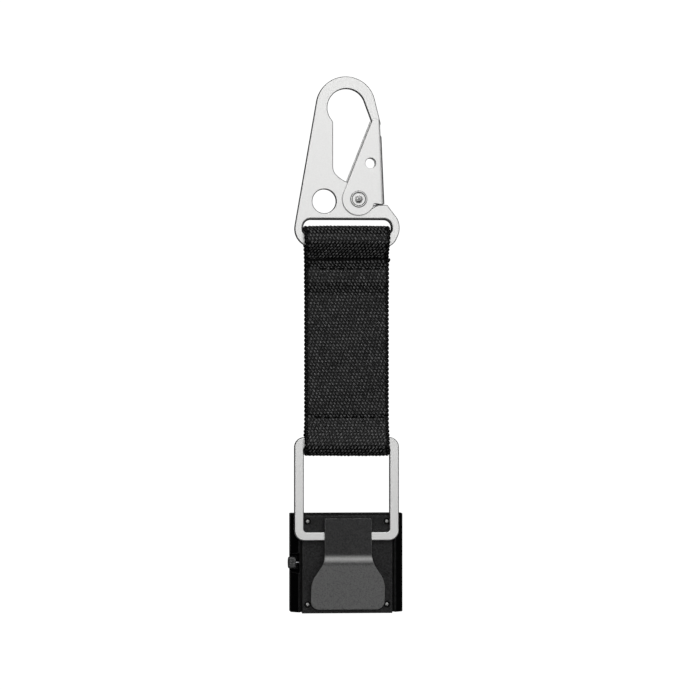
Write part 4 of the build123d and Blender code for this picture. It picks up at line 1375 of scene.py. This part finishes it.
@dataclass
class Watch:
    """The clip-on watch: case, back plate, screws, crown, clip, and what its window shows."""

    middle: float = -136.9
    across: float = 0.35
    crown_axis_y: float = 5.0
    crown_inner: float = -14.7
    crown_outer: float = -16.95
    flutes: int = 20
    flute_depth: float = 0.17
    screw_at: tuple[float, float] = (11.5, 12.0)
    screw_face_y: float = 1.25
    well_reach: float = 1.15
    skin: float = 0.02
    flute_floor: float = 1.35
    flute_rise: float = 0.2

    def build(self, frame: dict, wardrobe: Wardrobe) -> None:
        """Builds, dresses and hangs every piece of the watch.

        Args:
            wardrobe: The finishes.
        """
        nodes = frame["nodes"]
        copies = (
            ("case", "case_body", 0.16, "black_metal", "watch"),
            ("back_plate", "case_back", 0.08, "black_plate", "watch"),
            ("clip_block", "clip_spacer", 0.12, "black_clip", "watch"),
            ("clip", "spring_clip", 0.13, "black_clip", "clip"),
            ("hour_markers", "baton_markers", 0.05, "marker", "watch"),
            ("hour_hand", "hour_pointer", 0.04, "marker", "hour_hand"),
            ("minute_hand", "minute_pointer", 0.04, "marker", "minute_hand"),
            ("battery", "button_cell", 0.1, "battery_steel", "watch"),
        )
        for node, name, rounding, slot, body in copies:
            piece = refined_copy(nodes[node], name, rounding, 2)
            finish_piece(piece, wardrobe, slot, body, node)
            if node == "back_plate":
                self._paint_well_shade(piece, wardrobe)
        finish_piece(self._screws(), wardrobe, "screw_steel", "watch", "case_screws")
        finish_piece(
            self._crown(), wardrobe, "black_metal", "crown", "crown", finish="crown_black"
        )
        finish_piece(self._coil(), wardrobe, "copper", "watch", "coil")

    def _paint_well_shade(self, plate: bpy.types.Object, wardrobe: Wardrobe) -> None:
        """Paints shade into the screw wells: their faces take the deeper black of the case.

        Args:
            plate: The finished back plate.
            wardrobe: The finishes.
        """
        # Painted shade: the recessed wells take the darker black.
        plate.data.materials.append(wardrobe.materials["black_metal"])
        outer = min(vertex.co.y for vertex in plate.data.vertices)
        for face in plate.data.polygons:
            across = abs(face.center.x / MM - self.across) - self.screw_at[0]
            rise = abs(face.center.z / MM - self.middle) - self.screw_at[1]
            if math.hypot(across, rise) < self.well_reach and face.center.y > outer + self.skin * MM:
                face.material_index = 1

    def _screws(self) -> bpy.types.Object:
        """Models one cross-drive screw and sets a copy in each corner."""
        head = turned_piece(
            "back_screws",
            ((0.3, -3.0), (0.42, -2.85), (0.42, -0.42), (0.5, -0.42), (0.55, -0.36), (0.55, -0.14),
             (0.5, -0.06), (0.38, -0.015), (0.17, 0.0)),
            (0, 0, 0), Axis.Z, segments=40,
        )
        cutters = []
        for turn in (0, 90):
            deselect_all()
            bpy.ops.mesh.primitive_cube_add(
                size=1, location=(0, 0, 0.05 * MM), rotation=(0, 0, math.radians(turn))
            )
            bar = bpy.context.object
            bar.scale = (0.84 * MM, 0.2 * MM, 0.6 * MM)
            settle(bar)
            cutters.append(bar)
        for bar in cutters:
            drive = head.modifiers.new("drive", "BOOLEAN")
            drive.object = bar
            drive.operation = "DIFFERENCE"
            drive.solver = "EXACT"
        apply_modifiers(head)
        for bar in cutters:
            bpy.data.objects.remove(bar)
        screws = []
        for number, (side, rise) in enumerate(((-1, 1), (1, 1), (-1, -1), (1, -1))):
            screw = copy_of(head, "back_screws")
            screw.data.transform(
                Matrix.Translation(
                    ((self.across + side * self.screw_at[0]) * MM, self.screw_face_y * MM,
                     (self.middle + rise * self.screw_at[1]) * MM)
                )
                @ Matrix.Rotation(math.radians(90), 4, "X")
                @ Matrix.Rotation(math.radians(17 + 31 * number), 4, "Z")
            )
            screws.append(screw)
        bpy.data.objects.remove(head)
        return close_up(join(screws, "back_screws"), 30)

    def _crown(self) -> bpy.types.Object:
        """Turns the crown, then sinks flutes into its rim."""
        depth = self.crown_inner - self.crown_outer
        crown = turned_piece(
            "fluted_crown",
            ((1.2, 0.0), (1.45, 0.02), (1.58, 0.1), (1.65, 0.24), (1.65, 0.8), (1.65, 1.4),
             (1.65, 2.0), (1.58, 2.12), (1.42, 2.2), (1.1, depth), (0.8, depth), (0.72, depth - 0.1),
             (0.2, depth - 0.14)),
            (0, 0, 0), Axis.Z, segments=self.flutes * 10,
        )
        points = mesh_points(crown) / MM
        angle = np.arctan2(points[:, 1], points[:, 0])
        reach = np.hypot(points[:, 0], points[:, 1])
        groove = (0.5 + 0.5 * np.cos(angle * self.flutes)) ** 1.6
        rim = np.clip((reach - self.flute_floor) / self.flute_rise, 0, 1)
        share = 1 - self.flute_depth * groove * rim / np.maximum(reach, 0.1)
        points[:, 0] *= share
        points[:, 1] *= share
        set_mesh_points(crown, points * MM)
        mark_crests(crown, rim * (1 - 1.6 * groove))
        crown.data.transform(
            Matrix.Translation(
                ((self.across + self.crown_inner) * MM, self.crown_axis_y * MM, self.middle * MM)
            )
            @ Matrix.Rotation(math.radians(-90), 4, "Y")
        )
        smooth(crown, 50)
        return crown

    def _coil(self) -> bpy.types.Object:
        """Turns the motor coil: two flanges and a layer of fine wire between them."""
        wire, flange, radius = 0.1, 0.4, 0.66
        profile = [(0.5, -3.6), (0.7, -3.58), (0.7, -3.2), (radius, -3.2)]
        turns = int(6.4 / wire)
        for turn in range(turns):
            base = -3.2 + turn * wire
            profile += [(radius - 0.03, base + wire * 0.02), (radius, base + wire * 0.5)]
        profile += [(radius - 0.03, 3.18), (0.7, 3.2), (0.7, 3.2 + flange - 0.02), (0.5, 3.2 + flange)]
        return turned_piece(
            "wound_coil", profile,
            ((self.across + 3.2) * MM, 3.37 * MM, (self.middle + 5.2) * MM), Axis.X, segments=28,
        )


# ---------------------------------------------------------------------------
# Studio: camera, lights, floor and backdrop
# ---------------------------------------------------------------------------


@dataclass(frozen=True)
class Softbox:
    """One square studio light.

    The direction is given as an azimuth (to the right of straight ahead) and an elevation, in
    degrees, and the reach and size in metres. Radiance is what a mirror in its path would show.
    """

    name: str
    azimuth: float
    elevation: float
    reach: float
    width: float
    height: float
    radiance: float


@dataclass
class Studio:
    """A pale sweep that is clear from behind, soft lights round the object and the camera."""

    aim: tuple[float, float, float] = (-0.43, 0.0, -73.9)
    azimuth: float = -5.0
    elevation: float = 0.0
    distance: float = 1100.0
    field: float = 199.2
    sensor: float = 36.0
    floor_z: float = -260.0
    backdrop_y: float = 520.0
    softboxes: tuple[Softbox, ...] = (
        Softbox("front_bank", 0, 0, 1.5, 1.7, 1.1, 1.14),
        Softbox("upper_bank", 0, 33, 1.5, 1.4, 0.45, 2.2),
        Softbox("lower_card", 0, -38, 1.5, 1.6, 0.9, 1.3),
        Softbox("floor_card", 0, -78, 1.5, 1.6, 1.0, 0.7),
        Softbox("right_bank", 56, 0, 1.5, 1.2, 1.6, 0.25),
        Softbox("rear_bank", 180, 0, 1.5, 1.4, 1.4, 1.0),
    )

    def build(self) -> None:
        """Builds the stage, the lights and the camera."""
        self._camera()
        for softbox in self.softboxes:
            self._light(softbox)
        self._world()
        self._sweep()

    def _direction(self, azimuth: float, elevation: float) -> Vector:
        """Unit vector from the aim towards a place given by azimuth and elevation in degrees."""
        a, e = math.radians(azimuth), math.radians(elevation)
        return Vector((math.sin(a) * math.cos(e), -math.cos(a) * math.cos(e), math.sin(e)))

    def _camera(self) -> None:
        """Places the camera at its angle and makes it the scene's."""
        lens = bpy.data.cameras.new("camera")
        lens.sensor_width = self.sensor
        lens.lens = self.sensor * self.distance / self.field
        lens.clip_start = 0.01
        camera = bpy.data.objects.new("camera", lens)
        bpy.context.scene.collection.objects.link(camera)
        target = Vector(self.aim) * MM
        outwards = self._direction(self.azimuth, self.elevation)
        camera.location = target + outwards * self.distance * MM
        camera.rotation_euler = (-outwards).to_track_quat("-Z", "Y").to_euler()
        bpy.context.scene.camera = camera

    def _light(self, softbox: Softbox) -> None:
        """Adds one softbox that faces the object.

        Args:
            softbox: The light's place, size and radiance.
        """
        lamp = bpy.data.lights.new(softbox.name, "AREA")
        lamp.shape = "RECTANGLE"
        lamp.size = softbox.width
        lamp.size_y = softbox.height
        lamp.energy = softbox.radiance * math.pi * softbox.width * softbox.height
        light = bpy.data.objects.new(softbox.name, lamp)
        bpy.context.scene.collection.objects.link(light)
        outwards = self._direction(softbox.azimuth, softbox.elevation)
        light.location = Vector(self.aim) * MM + outwards * softbox.reach
        light.rotation_euler = (-outwards).to_track_quat("-Z", "Y").to_euler()

    def _world(self) -> None:
        """Gives the room a dim even glow and a plain view transform."""
        world = bpy.data.worlds.new("room")
        world.use_nodes = True
        glow = world.node_tree.nodes["Background"]
        glow.inputs["Color"].default_value = (1, 1, 1, 1)
        glow.inputs["Strength"].default_value = 0.03
        bpy.context.scene.world = world
        bpy.context.scene.view_settings.view_transform = "Standard"

    def _sweep(self) -> None:
        """Makes the floor and its curved rise into a backdrop, white to the camera alone."""
        floor_z, back_y, bend = self.floor_z * MM, self.backdrop_y * MM, 0.3
        deselect_all()
        bpy.ops.mesh.primitive_plane_add(size=1, location=(0, back_y - bend - 1.5, floor_z))
        sweep = bpy.context.object
        sweep.name = "sweep"
        sweep.scale = (6, 3, 1)
        settle(sweep)
        bpy.ops.object.mode_set(mode="EDIT")
        bpy.ops.mesh.select_all(action="DESELECT")
        bpy.ops.mesh.select_mode(type="EDGE")
        bpy.ops.object.mode_set(mode="OBJECT")
        for edge in sweep.data.edges:
            ends = [sweep.data.vertices[v].co.y for v in edge.vertices]
            edge.select = min(ends) > back_y - bend - 0.001
        bpy.ops.object.mode_set(mode="EDIT")
        bpy.ops.mesh.spin(
            steps=24, angle=math.radians(-90), center=(0, back_y - bend, floor_z + bend), axis=(1, 0, 0)
        )
        bpy.ops.mesh.extrude_edges_move(TRANSFORM_OT_translate={"value": (0, 0, 3)})
        bpy.ops.object.mode_set(mode="OBJECT")
        smooth(sweep, 60)
        sweep.data.materials.append(self._paper())

    def _paper(self) -> bpy.types.Material:
        """Makes the sweep's paper: white to the camera, grey in light, clear from behind."""
        paper = bpy.data.materials.new("paper")
        paper.use_nodes = True
        nodes, links = paper.node_tree.nodes, paper.node_tree.links
        surface = nodes["Principled BSDF"]
        surface.inputs["Base Color"].default_value = (0.2, 0.2, 0.2, 1)
        surface.inputs["Roughness"].default_value = 0.9
        white = nodes.new("ShaderNodeEmission")
        white.inputs["Strength"].default_value = 1.06
        path = nodes.new("ShaderNodeLightPath")
        choice = nodes.new("ShaderNodeMixShader")
        links.new(path.outputs["Is Camera Ray"], choice.inputs["Fac"])
        links.new(surface.outputs["BSDF"], choice.inputs[1])
        links.new(white.outputs["Emission"], choice.inputs[2])
        behind = nodes.new("ShaderNodeNewGeometry")
        clear = nodes.new("ShaderNodeBsdfTransparent")
        sided = nodes.new("ShaderNodeMixShader")
        links.new(behind.outputs["Backfacing"], sided.inputs["Fac"])
        links.new(choice.outputs["Shader"], sided.inputs[1])
        links.new(clear.outputs["BSDF"], sided.inputs[2])
        links.new(sided.outputs["Shader"], nodes["Material Output"].inputs["Surface"])
        return paper


def main() -> None:
    """Loads the frame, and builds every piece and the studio."""
    logging.basicConfig(level=logging.INFO, format="%(name)s: %(message)s")
    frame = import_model()
    wardrobe = Wardrobe()
    wardrobe.dress_frame(frame)
    Hook().build(frame, wardrobe)
    Strap().build(wardrobe)
    Watch().build(frame, wardrobe)
    Studio().build()


if __name__ == "__main__":
    main()
